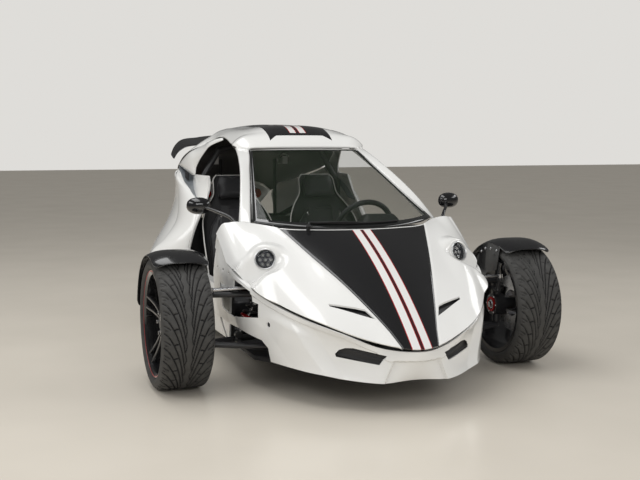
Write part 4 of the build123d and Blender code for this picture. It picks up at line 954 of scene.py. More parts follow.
def roof_paint():
    """White paint with a black panel along the middle, striped like the hood, from Object coordinates."""
    bands = [(0, INK), (6, PIN), (8, SNOW), (44, PIN), (47, INK)]
    material, tree, shader, stripes, reach, y = striped_paint("canopy_lacquer", bands, 1.0)

    def past(value, start):
        return reckon(tree, "MAXIMUM", reckon(tree, "SUBTRACT", value, start), 0.0)

    narrow = reckon(tree, "MULTIPLY", past(y, PANEL_TAPER_FROM), PANEL_TAPER)
    inside = reckon(tree, "LESS_THAN", reach, reckon(tree, "SUBTRACT", PANEL_HALF, narrow))
    leg = reckon(tree, "MULTIPLY", past(reach, NOTCH_HALF), NOTCH_SLOPE)
    behind = reckon(tree, "GREATER_THAN", y, reckon(tree, "ADD", leg, PANEL_FRONT))
    striped = reckon(tree, "GREATER_THAN", y, STRIPES_FRONT)
    black = blend_colour(tree, striped, (*INK, 1), stripes)
    panel = reckon(tree, "MULTIPLY", inside, behind)
    plug(tree, shader, {"Base Color": blend_colour(tree, panel, (*SNOW, 1), black)})
    return material


def line_inside(made, inside):
    """Give the faces that pass a test the dark lining, the second finish."""
    made.data.materials.append(MOULDED)
    for face in made.data.polygons:
        if inside(face):
            face.material_index = 1


ROOF_PAINT = roof_paint()
LINED_FROM = 850
roof = thicken(thing("roof", skin_mesh("roof", roof_grid(806, 1500, 90))), 14.0)
canopy = melt(joined("canopy_skin", [roof] + both(pillar)), 5.5, 7)
part(canopy, "chassis", "body_white", "canopy", finish=ROOF_PAINT)
line_inside(canopy, lambda face: face.center.y * 1000 - AXLE_TO_ROW > LINED_FROM and face.normal.z < -0.15)
print("canopy", len(canopy.data.polygons), "faces")

# %% Tail deck with its end panel
DECK_END, PAD_FRONT, PAD_BACK = (row(0, y, 0).y for y in (2440, 1910, 2040))
deck = thicken(thing("deck_skin", skin_mesh("deck_skin", roof_grid(1504, 2450, 110)), ROOF_PAINT), 7.0)
soften(deck.data, 40)
line_inside(deck, lambda face: face.normal.z < -0.05)


def drop_deck(work):
    """Keep only the end panel and the pads of the wing's posts."""
    weld(work)
    gone = []
    for face in work.faces:
        at = face.calc_center_median()
        on_pad = PAD_FRONT < at.y < PAD_BACK and 0.215 < abs(at.x) < 0.265
        if at.y < DECK_END and not on_pad:
            gone.append(face)
    bmesh.ops.delete(work, geom=gone, context="FACES")


tail_kept = edited(frame["nodes"]["rear_deck"].data.copy(), drop_deck)
tail_panel = thing("tail_panel", soften(tail_kept, 35), BLACK_PAINT)
tail = joined("tail_skins", [deck, tail_panel])
part(tail, "chassis", "body_white", "rear_deck")
print("tail", len(tail.data.polygons), "faces")

# %% [markdown]
# ## The windscreen
# A single sheet of greenish glass, with the black border that hides its glue. The glass is a thin lens
# between two arcs, and the border is a material band that reads the sheet's own UV map, so it follows the
# edge.

# %% Windscreen
GLASS_LOW = ((489, 141, 768), (0, -95, 745))
GLASS_HIGH = ((318, 792, 1117), (0, 772, 1121))


def screen_point(across, up, off=0.0):
    """Point on the glass: across from -1 to 1, up from 0 to 1, standing off outwards in millimetres."""
    ends = []
    for side, middle in (GLASS_LOW, GLASS_HIGH):
        half, rise = side[0], hypot(side[1] - middle[1], side[2] - middle[2])
        radius = (half ** 2 + rise ** 2) / (2 * rise)
        share = (radius - (radius ** 2 - (across * half) ** 2) ** 0.5) / rise
        ends.append(np.array([across * half, middle[1] + (side[1] - middle[1]) * share,
                              middle[2] + (side[2] - middle[2]) * share]))
    out = np.array([0.25 * across, -0.42, 0.9])
    return ends[0] * (1 - up) + ends[1] * up + out / np.linalg.norm(out) * off


def glass_material():
    """Tinted glass, more mirror like at a slant, whose UV edge band is opaque black ink."""
    material, tree, shader = material_of("windscreen_glass", {
        "Roughness": 0.03, "Coat Weight": 1.0, "Coat Roughness": 0.02})
    place = node(tree, "UVMap", uv_map="sheet").outputs["UV"]
    split = node(tree, "SeparateXYZ", {"Vector": place}).outputs
    edges = [reckon(tree, kind, split[axis], limit)
             for axis, *limits in (("X", 0.022, 0.978), ("Y", 0.05, 0.985))
             for kind, limit in zip(("LESS_THAN", "GREATER_THAN"), limits)]
    band = reduce(partial(reckon, tree, "MAXIMUM"), edges)
    slant = node(tree, "LayerWeight", {"Blend": 0.5}).outputs["Facing"]
    cover = reckon(tree, "MULTIPLY_ADD", reckon(tree, "POWER", slant, 4.0), 0.40, 0.13)
    tint = blend_colour(tree, band, (0.022, 0.036, 0.020, 1), (0.010, 0.011, 0.011, 1))
    plug(tree, shader, {"Base Color": tint, "Alpha": reckon(tree, "MAXIMUM", cover, band)})
    material.surface_render_method = "BLENDED"
    return material


def glass_sheet():
    """The screen as one closed thin sheet with a UV map over its face."""
    n, m = 48, 40
    outer = [[screen_point(2 * i / n - 1, j / m) for j in range(m + 1)] for i in range(n + 1)]
    mesh = skin_mesh("windscreen_glass", outer)
    uv = mesh.uv_layers.new(name="sheet")
    for poly in mesh.polygons:
        for loop in poly.loop_indices:
            i, j = divmod(mesh.loops[loop].vertex_index, m + 1)
            uv.data[loop].uv = (i / n, j / m)
    return thing("windscreen_glass", mesh)


screen = thicken(glass_sheet(), 6.0)
part(screen, "chassis", "screen", "windscreen", finish=glass_material())
print("glass", len(screen.data.polygons), "faces")

# %% [markdown]
# ## Tyres
# Each tyre is a low sports tyre with a directional tread: long grooves sweep from the shoulders into a zigzag
# beside a solid middle rib, short links split the bands into leaves, and fine sipes cut the shoulders. The
# pattern is drawn once over one pitch, repeated round the tyre, and pressed into a dense grid.

# %% Tread pattern
TREAD_PITCHES = 28
GROOVES = [
    (2.6, [(1.00, -0.10), (0.86, 0.10), (0.70, 0.50), (0.52, 1.10), (0.36, 1.85), (0.25, 2.55),
           (0.17, 3.30)]),
    (1.7, [(0.17, 0.30), (0.11, 0.80), (0.17, 1.30)]),
    (1.9, [(0.64, 0.74), (0.54, 0.66), (0.43, 0.62)]),
    (1.3, [(0.99, 0.42), (0.88, 0.52), (0.76, 0.68)]),
    (1.1, [(0.97, 0.68), (0.90, 0.74)]),
]


def groove_depth(across, phase):
    """Depth share from 0 to 1 at places across (in millimetres from the middle) and round (in pitches)."""
    reach, pitch = across
    deep = np.zeros_like(phase)
    for half_wide, line in GROOVES:
        line = np.array(line)
        path = fair_line(line, 26, measured=line * [reach, pitch])
        for lap in range(-4, 2):
            for a, b in zip(path, path[1:]):
                u, v = a * [reach, pitch], b * [reach, pitch]
                w = np.abs(phase[..., 0])
                t = (phase[..., 1] % 1.0 - lap) * pitch
                run = v - u
                k = np.clip(((w - u[0]) * run[0] + (t - u[1]) * run[1]) / (run @ run), 0, 1)
                gap = np.hypot(w - u[0] - k * run[0], t - u[1] - k * run[1])
                deep[..., 0] = np.maximum(deep[..., 0], smoothstep(1 - (gap - half_wide) / 1.5))
    return deep[..., 0]


def tyre_profile(width, radius, rim_r):
    """Half section as (x, r), from the middle of the tread down the sidewall to the bead."""
    half, top = width / 2, radius
    belly = rim_r + 0.3 * (top - rim_r)
    crown = half - 32
    tread = arc_points((-crown, 0, top - 4), (0, 0, top), (crown, 0, top - 4), np.linspace(0.5, 1, 36))
    shoulder = arc_points((crown, 0, top - 4), (half - 12, 0, top - 10), (half - 3, 0, top - 25),
                          np.linspace(0, 1, 9)[1:])
    wall = arc_points((half - 3, 0, top - 25), (half, 0, belly), (half - 8, 0, rim_r + 4),
                      np.linspace(0, 1, 13)[1:])
    wall[2:4, 0] += 0.9
    wall[7, 0] += 0.8
    bead = np.array([(half - 18, 0, rim_r + 1), (half - 18, 0, rim_r - 12), (half - 32, 0, rim_r - 12)])
    return np.concatenate([tread, shoulder, wall, bead])[:, [0, 2]]


def tyre_skin(name, centre, width, radius, rim_r, laps=672):
    """Tyre with its pattern pressed in and painted shade in its deepest grooves, about a centre in axle
    millimetres.
    """
    half = tyre_profile(width, radius, rim_r)
    section = np.concatenate([half[:0:-1] * [-1, 1], half])
    theta = np.arange(laps) * 2 * pi / laps
    reach = width / 2 - 10
    pitch = 2 * pi * radius / TREAD_PITCHES
    per = laps // TREAD_PITCHES
    place = np.zeros((per, len(section), 2))
    place[..., 0] = section[:, 0]
    side_shift = np.where(section[:, 0] > 0, 0.5, 0.0)
    place[..., 1] = (np.arange(per) / per)[:, None] + side_shift
    deep = groove_depth((reach, pitch), place)
    on_tread = smoothstep((section[:, 1] - (radius - 24)) / 12)
    press = np.tile(deep * on_tread * 6.5, (TREAD_PITCHES, 1))
    r = section[:, 1] - press
    grid = np.zeros((laps, len(section), 3))
    grid[..., 0] = centre[0] + section[:, 0]
    grid[..., 1] = centre[1] - r * np.cos(-theta)[:, None]
    grid[..., 2] = centre[2] + r * np.sin(-theta)[:, None]
    mesh = edited(skin_mesh(name, grid, wrap_rows=True), face_out)
    # Faces sunk deeper than 4 mm take the near-black finish: painted shade in the grooves.
    sunk = (press[:, :-1] + press[:, 1:]) / 2 > 4.0
    mesh.polygons.foreach_set("material_index", sunk.ravel().astype(int))
    return thing(name, mesh, RUBBER, DARK)


AXLE_X, FRONT_R, REAR_R, WHEELBASE = 906.0, 315.0, 332.0, 2400.0
for side, name in SIDES:
    tyre = tyre_skin("tyre_skin_" + name, (side * AXLE_X, 0, FRONT_R), 245, FRONT_R, 256)
    part(tyre, "wheel_front_" + name, "tyre", "tyre_front_" + name)
tyre = tyre_skin("tyre_skin_rear", (0, WHEELBASE, REAR_R), 295, REAR_R, 250)
part(tyre, "wheel_rear", "tyre", "tyre_rear")
print("tyre", len(tyre.data.polygons), "faces")

# %% [markdown]
# ## Wheels
# The rims are gloss black with five pairs of slim spokes that sweep from a sunk hub out to the lip, which has
# a red line round it. The barrel and the hub are turned, and a spoke is a swept bar whose section tapers.
# Five bolts and a plain cap close the middle.

# %% Rims, red line, caps and bolts
def spoke_bar(start, end, side_way, out_way, wide, deep):
    """Tapered bar from the hub to the lip, in the wheel's own plane, dished at its middle."""
    start, end = np.array(start, float), np.array(end, float)
    rings = []
    for t in np.linspace(0, 1, 15):
        at = start + (end - start) * t + out_way * (-10 * 4 * t * (1 - t))
        w, d = wide[0] + (wide[1] - wide[0]) * t, deep[0] + (deep[1] - deep[0]) * t
        rings.append([at + side_way * w * a + out_way * d * b for a, b in (
            (-0.5, -1), (0.5, -1), (0.5, -0.3), (0.38, -0.06), (0.2, 0), (-0.2, 0), (-0.38, -0.06),
            (-0.5, -0.3))])
    return hull("spoke", rings, 40, BLACK_PAINT)


def rim_dress(name, body, solid, centre, out, rim_r, width, face):
    """Barrel, hub, five pairs of spokes, red line, cap, bolts and valve of one wheel."""
    half = width / 2 - 18 + 0.3
    seat, lip = rim_r - 12.3, half + 6

    def ring(name, profile, sides, surface, at=centre):
        return turned(name, [(out * a, r) for a, r in profile], at, (1, 0, 0), sides, surface)

    pieces = [
        ring("barrel", [(-half - 6, seat - 9), (-half - 6, rim_r - 1), (-half - 5, rim_r), (-half, rim_r),
                        (-half, seat), (half, seat), (half, rim_r), (half + 5, rim_r), (lip, rim_r - 1.5),
                        (lip, rim_r - 9), (half + 3, rim_r - 13), (half - 4, seat - 9),
                        (face - 10, seat - 11), (-half - 6, seat - 9)], 160, BLACK_PAINT),
        ring("hub", [(face - 26, 31), (face - 26, 74), (face - 8, 74), (face - 2, 70), (face, 62),
                     (face - 3, 58), (face - 4, 36), (face - 1, 33), (face - 1, 31), (face - 26, 31)], 96,
             BLACK_PAINT)]
    out_way = np.array([out, 0, 0], float)
    for k in range(5):
        for lean in (-1, 1):
            turn = radians(72 * k)
            ray, side_way = np.array([0, sin(turn), cos(turn)]), np.array([0, cos(turn), -sin(turn)])
            foot = np.array(centre) + ray * 56 + side_way * lean * 11 + out_way * (face - 3)
            head = np.array(centre) + ray * (seat - 10) + side_way * lean * 30 + out_way * (half - 2)
            pieces.append(spoke_bar(foot, head, side_way, out_way, (20, 15), (22, 18)))
    x, y, z = centre
    pieces += [
        ring("red_line", [(lip - 1, rim_r - 8), (lip + 0.9, rim_r - 7.5), (lip + 0.9, rim_r - 3.5),
                          (lip - 1, rim_r - 3), (lip - 1, rim_r - 8)], 120, RED_PAINT),
        ring("cap", [(face - 5, 30), (face + 2, 30), (face + 5, 27), (face + 6.5, 15), (face + 6.5, 0.01)],
             64, SATIN_BLACK),
        tube("valve", [(x + out * (lip - 34), y + rim_r - 26, z), (x + out * (lip - 8), y + rim_r - 34, z)],
             3.2, 10, MOULDED)]
    bolt = [(face - 2, 10.5), (face + 1, 10.5), (face + 2, 9.5), (face + 10, 9), (face + 11, 8),
            (face + 11, 4.5), (face + 6, 4.5), (face + 6, 0.01)]
    pieces += [ring("bolt", bolt, 12, STEEL, (x, *at)) for at in circle((y, z), 50.0, 5)]
    part(joined("wheel_rim_" + name, pieces), body, "rim_black", solid)


for side, name in SIDES:
    rim_dress(name, "wheel_front_" + name, "rim_front_" + name, (side * AXLE_X, 0, FRONT_R), side, 256, 245,
              72)
rim_dress("rear", "wheel_rear", "rim_rear", (0, WHEELBASE, REAR_R), 1, 250, 295, 90)
print("wheels dressed", 3)

# %% [markdown]
# ## Mudguards
# Thin black shells follow the front tyres and turn with them. Each is a curved strip with a turned down rim
# and rounded ends, and a bracket plate with four bolts on its inner side that carries it from the upright.

# %% Mudguards
GUARD_HALF, GUARD_INNER = 128.0, 339.0
BRACKET = [(-95, 309), (-62, 190), (30, 168), (60, 150), (60, 104), (46, 92), (46, 60), (122, 60), (130, 297),
           (60, 317), (0, 325)]
BRACKET_BOLTS = ((-60, 290), (0, 296), (60, 290), (104, 270), (64, 78), (104, 78))


def guard_strip(at, half, inner, front, rear, drop=24.0, flat=3.2, round_by=46.0):
    """Shell over a tyre from its front angle to its rear angle, in degrees from the top."""
    angles = np.radians(np.linspace(front, -rear, 97))
    run = (angles[0] - angles) * inner
    end = np.minimum(run, run[-1] - run)
    squeeze = 1 - 0.16 * (1 - np.sqrt(np.clip(1 - (1 - np.clip(end / round_by, 0, 1)) ** 2, 0, 1)))
    share = np.concatenate([[-1, -1], np.linspace(-0.985, 0.985, 41), [1, 1]])
    grid = np.zeros((len(angles), len(share), 3))
    for i, angle in enumerate(angles):
        r = inner + 10 - drop * np.abs(share) ** flat
        r[0] -= 2
        r[-1] -= 2
        x = share * (half + 4) * squeeze[i]
        grid[i, :, 0] = at[0] + x
        grid[i, :, 1] = at[1] - r * sin(angle)
        grid[i, :, 2] = at[2] + r * cos(angle)
    centre = row(*at)
    outwards = turn_over(lambda face: (face.calc_center_median() - centre).dot(face.normal))
    return thicken(thing("guard", edited(skin_mesh("guard", grid), outwards), GUARD_PAINT), 3.6)


def small_bolt(at, axis, radius=7.0, tall=5.0):
    """Low domed bolt head on a surface, looking along an axis."""
    return turned("bolt", [(-1, radius), (tall * 0.4, radius), (tall * 0.8, radius * 0.8),
                           (tall, radius * 0.4), (tall, 0.01)], at, axis, 16, STEEL)


for side, name in SIDES:
    shell = guard_strip((side * AXLE_X, 0, FRONT_R), GUARD_HALF, GUARD_INNER, 29, 84)
    inner_x = side * (AXLE_X - GUARD_HALF)
    plate_x = inner_x - side * 4
    plate = prism("bracket", [(y, z + FRONT_R) for y, z in BRACKET], 0, inner_x, plate_x, GUARD_PAINT)
    bolts = [small_bolt((plate_x, y, FRONT_R + z), (-side, 0, 0)) for y, z in BRACKET_BOLTS]
    guard = joined("mudguard_skin_" + name, [shell, plate] + bolts)
    part(guard, "knuckle_" + name, "guard_black", "mudguard_" + name)
print("mudguards", 2)

# %% [markdown]
# ## Headlamps
# Each lamp is a small round unit: a chrome bezel, a polished bowl with a ring of small reflectors round a
# middle one, and a clear domed cover. All of it is turned about the lamp's own aim, so one function makes
# both sides.

# %% Headlamps
REFLECTOR = [(-29, 0.01), (-29, 11), (-20, 11), (-17, 10), (-17, 9), (-22, 8), (-27, 4), (-28, 0.01)]
LAMP_BULB = [(-27, 0.01), (-27, 3.4), (-21, 3.2), (-19, 1.8), (-18.5, 0.01)]


def lamp_unit(side):
    """Bezel, bowl and reflectors of one lamp."""
    at, aim, outboard, up = lamp_frame(side)
    pieces = [
        turned("bezel", [(-4, 51), (5, 51.4), (9, 50), (10, 47.5), (8, 45), (2, 43), (-4, 43), (-4, 51)], at,
               aim, 96, BEZEL),
        turned("bowl", [(-66, 0.01), (-62, 30), (-44, 42), (-6, 45.5), (2, 46), (2, 44), (-10, 43), (-24, 41),
                        (-30, 36), (-30, 0.01)], at, aim, 72, LAMP_INSIDE)]
    for a, b in circle((0, 0), 26.0, 6) + [(0, 0)]:
        spot = at + outboard * a + up * b
        pieces.append(turned("reflector", REFLECTOR, spot, aim, 24, CHROME))
        pieces.append(turned("bulb", LAMP_BULB, spot, aim, 12, BULB))
    return joined("lamp_unit", pieces)


def lamp_lens(side):
    at, aim, _, _ = lamp_frame(side)
    return turned("lens", [(14, 0.01), (13, 14), (10.5, 28), (6.5, 40), (4, 44.5), (2.5, 44.5), (5, 40),
                           (9, 28), (11.5, 14), (12.5, 0.01)], at, aim, 72, LAMP_GLASS)


part(joined("lamp_units", both(lamp_unit)), "chassis", "bright_steel", "headlamp_bowls")
part(joined("lamp_lenses", both(lamp_lens)), "chassis", "lamp_glass", "headlamp_covers")
print("lamps", 2)

# %% [markdown]
# ## Mirrors and wiper
# The mirrors are black ovals on curved stalks that grow out of the wings. The head is a grid over an oval
# whose size follows a table along its depth, and its last rings dip back to hold the glass. The wiper lies
# parked in the dark band at the foot of the screen.

# %% Mirrors and wiper
MIRROR_AT = (706.0, 367.0, 843.0)
MIRROR_WIDE, MIRROR_TALL, MIRROR_ROUND = 61, 43, 0.86
MIRROR_SHELL = [(-30, 0.01), (-29, 0.3), (-25, 0.55), (-17, 0.78), (-6, 0.93), (8, 1.0), (19, 0.985),
                (23, 0.95), (22, 0.91), (17, 0.90)]
STALK = [(556, 146, 752), (584, 182, 790), (630, 252, 816), (668, 326, 832), (690, 358, 838)]


def mirror_head(side):
    """Oval head with its glass, curved stalk and the foot on the wing."""
    cx, cy, cz = MIRROR_AT
    rings = []
    for y, s in fair_line(MIRROR_SHELL, 46, measured=[(d, s * 60) for d, s in MIRROR_SHELL]):
        s = max(s, 0.004)
        ring = []
        for a, b in circle((0, 0), 1, 64):
            x = np.sign(a) * MIRROR_WIDE * abs(a) ** MIRROR_ROUND * s
            z = np.sign(b) * MIRROR_TALL * abs(b) ** MIRROR_ROUND * s
            ring.append((side * (cx + x), cy + y + 0.10 * x, cz + z))
        rings.append(ring)
    head = hull("mirror_shell", rings, 40, BLACK_PAINT, CHROME)
    for face in head.data.polygons:
        face.material_index = int(len(face.vertices) > 8 and face.center.y > row(0, cy, 0).y)
    stalk = tube("stalk", [(side * x, y, z) for x, y, z in fair_line(STALK, 24)],
                 np.interp(np.arange(24), [0, 4, 23], [13, 9, 7]), 20, BLACK_PAINT)
    foot = turned("foot", [(-14, 0.01), (-14, 24), (-2, 24), (3, 21), (6, 14), (7, 0.01)],
                  (side * 556, 146, 756), (side * 0.2, -0.15, 1), 40, BLACK_PAINT)
    return joined("mirror_side", [head, stalk, foot])


part(joined("mirror_pair", both(mirror_head)), "chassis", "body_black", "door_mirrors")

PIVOT_X, BLADE_UP = -262, 0.042
arm_line = [(PIVOT_X, -66, 768), (-250, -50, 779)]
arm_line += [screen_point(*spot) for spot in ((-0.45, 0.02, 24), (-0.3, 0.03, 24), (-0.15, 0.038, 20),
                                              (0.0, BLADE_UP, 16))]


def blade_line(off):
    return [screen_point(a, BLADE_UP, off) for a in np.linspace(-0.5, 0.48, 40)]


wiper = joined("wiper_arm", [
    tube("arm", fair_line(arm_line, 30), np.linspace(5.5, 3.0, 30), 12),
    tube("blade", blade_line(12), [2.2] + [3.6] * 38 + [2.2], 10),
    tube("squeegee", blade_line(7.4), 1.6, 6),
    turned("spindle", [(-60, 0.01), (-60, 9), (4, 9), (5, 12), (12, 12), (15, 9), (15, 0.01)],
           (PIVOT_X, -66, 756), (0, -0.42, 0.9), 28)])
part(wiper, "chassis", "trim_black", "wiper", finish=MOULDED)
print("mirrors and wiper done")

# %% [markdown]
# ## Springs
# The coil-overs show their red collars between the arms. The spring is a round wire wound along a helix, and
# the damper inside it is a turned body with a steel rod.

# %% Front coil-overs
FRONT_SHOCK = ((589.2, 40, 228.8), (403.2, 40, 571.9))


def coil(name, foot, head, radius, wire, turns, start, end, surface):
    """Helix of wire round the line from foot to head, between two shares of its length."""
    foot, head = Vector(foot), Vector(head)
    run = head - foot
    _, side, other = about(run)
    points = []
    for t in np.linspace(0, 1, turns * 28 + 1):
        turn = 2 * pi * turns * t
        squeeze = start + (end - start) * (t + 0.018 * sin(2 * pi * t))
        points.append(foot + run * squeeze + (side * cos(turn) + other * sin(turn)) * radius)
    return tube(name, points, wire, 10, surface)


def strut(side, radius=31):
    """Coil-over between two eyes: rod, body, collars, spring and bushes."""
    foot, head = [Vector((side * x, y, z)) for x, y, z in FRONT_SHOCK]
    axis, long = head - foot, (head - foot).length
    cup = [(0.22, 0.01), (0.22, 16), (0.24, radius + 6), (0.26, radius + 7), (0.27, radius + 5), (0.27, 0.01)]
    collar = [(0.85, 0.01), (0.85, radius + 5), (0.86, radius + 7), (0.90, radius + 7), (0.91, radius + 3),
              (0.91, 0.01)]
    pieces = [
        turned("rod", [(12, 0.01), (12, 7), (0.62 * long, 7), (0.62 * long, 0.01)], foot, axis, 24, CHROME),
        turned("body", [(0.42 * long, 0.01), (0.42 * long, 20), (0.44 * long, 22), (long - 14, 22),
                        (long - 10, 19), (long - 10, 0.01)], foot, axis, 36, STEEL),
        turned("low_cup", [(share * long, r) for share, r in cup], foot, axis, 40, RED_ANODISED),
        turned("top_ring", [(share * long, r) for share, r in collar], foot, axis, 40, RED_ANODISED),
        coil("spring", foot, head, radius, 5.2, 8, 0.275, 0.845, SATIN_BLACK)]
    pieces += [turned("eye", [(-17, 0.01), (-17, 16), (-15, 18.5), (15, 18.5), (17, 16), (17, 0.01)], at,
                      (0, 1, 0), 32, SATIN_BLACK) for at in (foot, head)]
    return joined("strut", pieces)


part(joined("coil_springs", both(strut)), "chassis", "frame_black", "front_coilovers")
print("springs wound")

# %% [markdown]
# ## The seats
# A bucket seat is a thin moulded shell with loose pads in it, and pale piping follows its shoulders. The pads
# are cut as plain blocks, then blown up a little by a cloth simulation with pressure inside, which rounds
# them like foam under a tight cover. Piping and seams come after that, because the remesh would erase them.

# %% Seat pads
CLOTH_FRAMES = 20
SEAT_X, SEAT_HIP, SEAT_TOP = 275.0, (1090.0, 210.0), (1400.0, 960.0)
LEAN = np.array([0, SEAT_TOP[0] - SEAT_HIP[0], SEAT_TOP[1] - SEAT_HIP[1]])
LEAN = LEAN / np.linalg.norm(LEAN)
OFF = np.array([0, -LEAN[2], LEAN[1]])
BACK_PAD = [(-150, 74), (150, 74), (184, 110), (186, 400), (168, 480), (96, 584), (-96, 584), (-168, 480),
            (-186, 400), (-184, 110)]
HEAD_PAD = [(-98, 648), (98, 648), (98, 740), (80, 792), (-80, 792), (-98, 740)]
BASE_PAD = [(-196, 772), (196, 772), (204, 800), (200, 1010), (190, 1030), (-190, 1030), (-200, 1010),
            (-204, 800)]


def on_back(across, along, off):
    """Point in the seat back's own directions, in axle millimetres, for the left seat."""
    return np.array([SEAT_X + across, SEAT_HIP[0], SEAT_HIP[1]]) + LEAN * along + OFF * off


def on_base(across, y, off):
    """Point above the seat's base, which falls a little to the rear."""
    return np.array([SEAT_X + across, y, 196 - (y - 764) * 0.08 + off])


def pad_block(name, outline, low, high, place):
    """Closed block over an outline, between two heights, with rounded edges."""
    made = solid_between(name, [row(*place(a, b, h)) for h in (low, high) for a, b in outline])
    edited(made.data, lambda work: bmesh.ops.bevel(work, geom=list(work.edges), offset=0.016, segments=3,
                                                   profile=0.6, affect="EDGES", clamp_overlap=True))
    return made


def places(mesh):
    return np.array([v.co for v in mesh.vertices])


def blow_up(made, most):
    """Round a block like a filled pad: remesh it, press it from inside as cloth and cap how far it moves."""
    modified(made, "grain", "REMESH", mode="VOXEL", voxel_size=0.006)
    bake(made)
    start = places(made.data)
    cloth = modified(made, "cover", "CLOTH")
    cloth.settings.use_pressure = True
    cloth.settings.uniform_pressure_force = 4.0
    cloth.settings.effector_weights.gravity = 0.0
    cloth.settings.quality = 4
    cloth.collision_settings.use_collision = False
    cloth.point_cache.frame_start, cloth.point_cache.frame_end = 1, CLOTH_FRAMES
    for number in range(1, CLOTH_FRAMES + 1):
        bpy.context.scene.frame_set(number)
    bake(made)
    bpy.context.scene.frame_set(1)
    moved = places(made.data) - start
    far = np.linalg.norm(moved, axis=1, keepdims=True)
    moved *= np.minimum(1, most / 1000 / np.maximum(far, 1e-9))
    made.data.vertices.foreach_set("co", (start + moved).ravel())
    modified(made, "relax", "SMOOTH", iterations=3)
    smooth(bake(made).data)
    return made


def seam(made, line, facing_way, depth=5.0, wide=7.0):
    """Press a sewn seam into a pad, along a line of constant distance from the seat's middle."""
    points = places(made.data)
    across = np.abs(points[:, 0] * 1000 - SEAT_X)
    normals = np.array([v.normal for v in made.data.vertices])
    facing = np.clip(normals @ facing_way, 0, 1)
    push = np.exp(-((across - line) / wide) ** 2) * depth
    points -= normals * (push * facing / 1000)[:, None]
    made.data.vertices.foreach_set("co", points.ravel())
    made.data.update()


back_pad = blow_up(pad_block("back_pad", BACK_PAD, 7, 56, on_back), 9)
head_pad = blow_up(pad_block("head_pad", HEAD_PAD, 7, 50, on_back), 8)
base_pad = blow_up(pad_block("base_pad", BASE_PAD, 8, 74, on_base), 9)
seam(back_pad, 112, OFF)
seam(base_pad, 118, np.array([0, 0, 1.0]))
for piece in (back_pad, head_pad, base_pad):
    piece.data.materials.append(LEATHER)
left_pads = joined("left_pads", [back_pad, head_pad, base_pad])
right_mesh = left_pads.data.copy()
right_mesh.transform(Matrix.Scale(-1, 4, Vector((1, 0, 0))))
right_mesh.flip_normals()
seat_cushions = joined("seat_cushions", [left_pads, thing("right_pads", right_mesh)])
part(seat_cushions, "chassis", "seat_fabric", "seat_pads")
print("pads", len(seat_cushions.data.polygons), "faces")

# %% [markdown]
# The shell is a thin moulding: a back that curls forward at its sides and runs up into the headrest, in one
# sweep with the base. It is a grid over the seat's own profile, given a wall.

# %% Seat shells, piping and eyelets
SHELL_PATH = [(756, 178, 212, 88), (800, 176, 219, 104), (880, 170, 221, 112), (1000, 163, 222, 118),
              (1070, 172, 222, 128), (1104, 212, 222, 132), (1150, 320, 222, 118), (1200, 440, 221, 96),
              (1255, 573, 220, 74), (1300, 682, 208, 52), (1335, 767, 168, 34), (1362, 832, 124, 24),
              (1385, 888, 116, 18), (1404, 934, 108, 12), (1412, 954, 90, 8)]
PIPED_FROM = 36


def seat_shell(side):
    """Thin bucket whose sides curl towards the sitter, and the line that its piping follows."""
    fine = fair_line(SHELL_PATH, 90, measured=[(y, z) for y, z, *_ in SHELL_PATH])
    ahead = np.gradient(fine[:, :2], axis=0)
    ahead /= np.linalg.norm(ahead, axis=1, keepdims=True)
    face = np.stack([-ahead[:, 1], ahead[:, 0]], axis=1)
    share = np.linspace(-1, 1, 45)
    grid = np.zeros((90, 45, 3))
    for i, (y, z, half, curl) in enumerate(fine):
        lift = curl * np.maximum(0, (np.abs(share) - 0.62) / 0.38) ** 1.7
        grid[i, :, 0] = side * (SEAT_X + half * np.sin(share * pi / 2))
        grid[i, :, 1] = y + face[i, 0] * lift
        grid[i, :, 2] = z + face[i, 1] * lift
    bucket = thicken(thing("bucket", skin_mesh("bucket", grid, flip=side < 0), MOULDED), 6.0, 0.0)
    soften(bucket.data, 40)
    return bucket, [*grid[PIPED_FROM:, -1], *grid[-1, ::-1], *grid[:PIPED_FROM - 1:-1, 0]]


shells, piping = [], []
for side, _ in SIDES:
    bucket, edge = seat_shell(side)
    shells.append(bucket)
    shells += [block("runner", (330, 36, 17), (side * SEAT_X, y, 164), 2, SATIN_BLACK) for y in (800, 990)]
    piping.append(tube("piping", edge, 3.6, 10, PIPING))
    for reach in (-92, 92):
        x, y, z = on_back(reach, 530, 64)
        shells.append(turned("eyelet", [(-4, 17), (3, 17.5), (5, 15), (5, 12), (2, 10), (-4, 10), (-4, 17)],
                             (side * x, y, z), OFF, 36, CHROME))
seats = joined("bucket_shells", shells + piping)
part(seats, "chassis", "trim_black", "seat_shells")
print("seat shells", len(seats.data.polygons), "faces")

# %% [markdown]
# ## The dashboard
# The dash is a soft moulded shelf under the screen with an instrument hood in front of the driver. Two gauges
# with bright rings look back at the driver, and round vents sit at its ends.

# %% Dashboard
DASH = [(74, 722), (120, 731), (220, 737), (300, 735), (370, 724), (412, 703), (428, 668), (430, 632),
        (418, 610), (398, 603), (360, 628), (330, 652)]
DASH_UNDER = [(300, 700), (74, 700)]
GAUGES, VENTS = ((225, 34), (312, 34)), ((-390, 30), (430, 26), (-60, 26), (20, 26))


def dash_ring(x):
    """Section of the dash at a distance from the middle, with the hood over the gauges."""
    drop = 16 * (abs(x) / 480) ** 4
    ring = fair_line([(x, y, z - drop) for y, z in DASH] + [(x, y, z) for y, z in DASH_UNDER], 70)
    pod = 52 * smoothstep(1 - (abs(x - 270) - 70) / 60)
    lift = pod * smoothstep((ring[:, 1] - 236) / 70) * smoothstep((ring[:, 2] - 690) / 20)
    ring[:, 2] += lift * (ring[:, 1] < 424)
    return ring


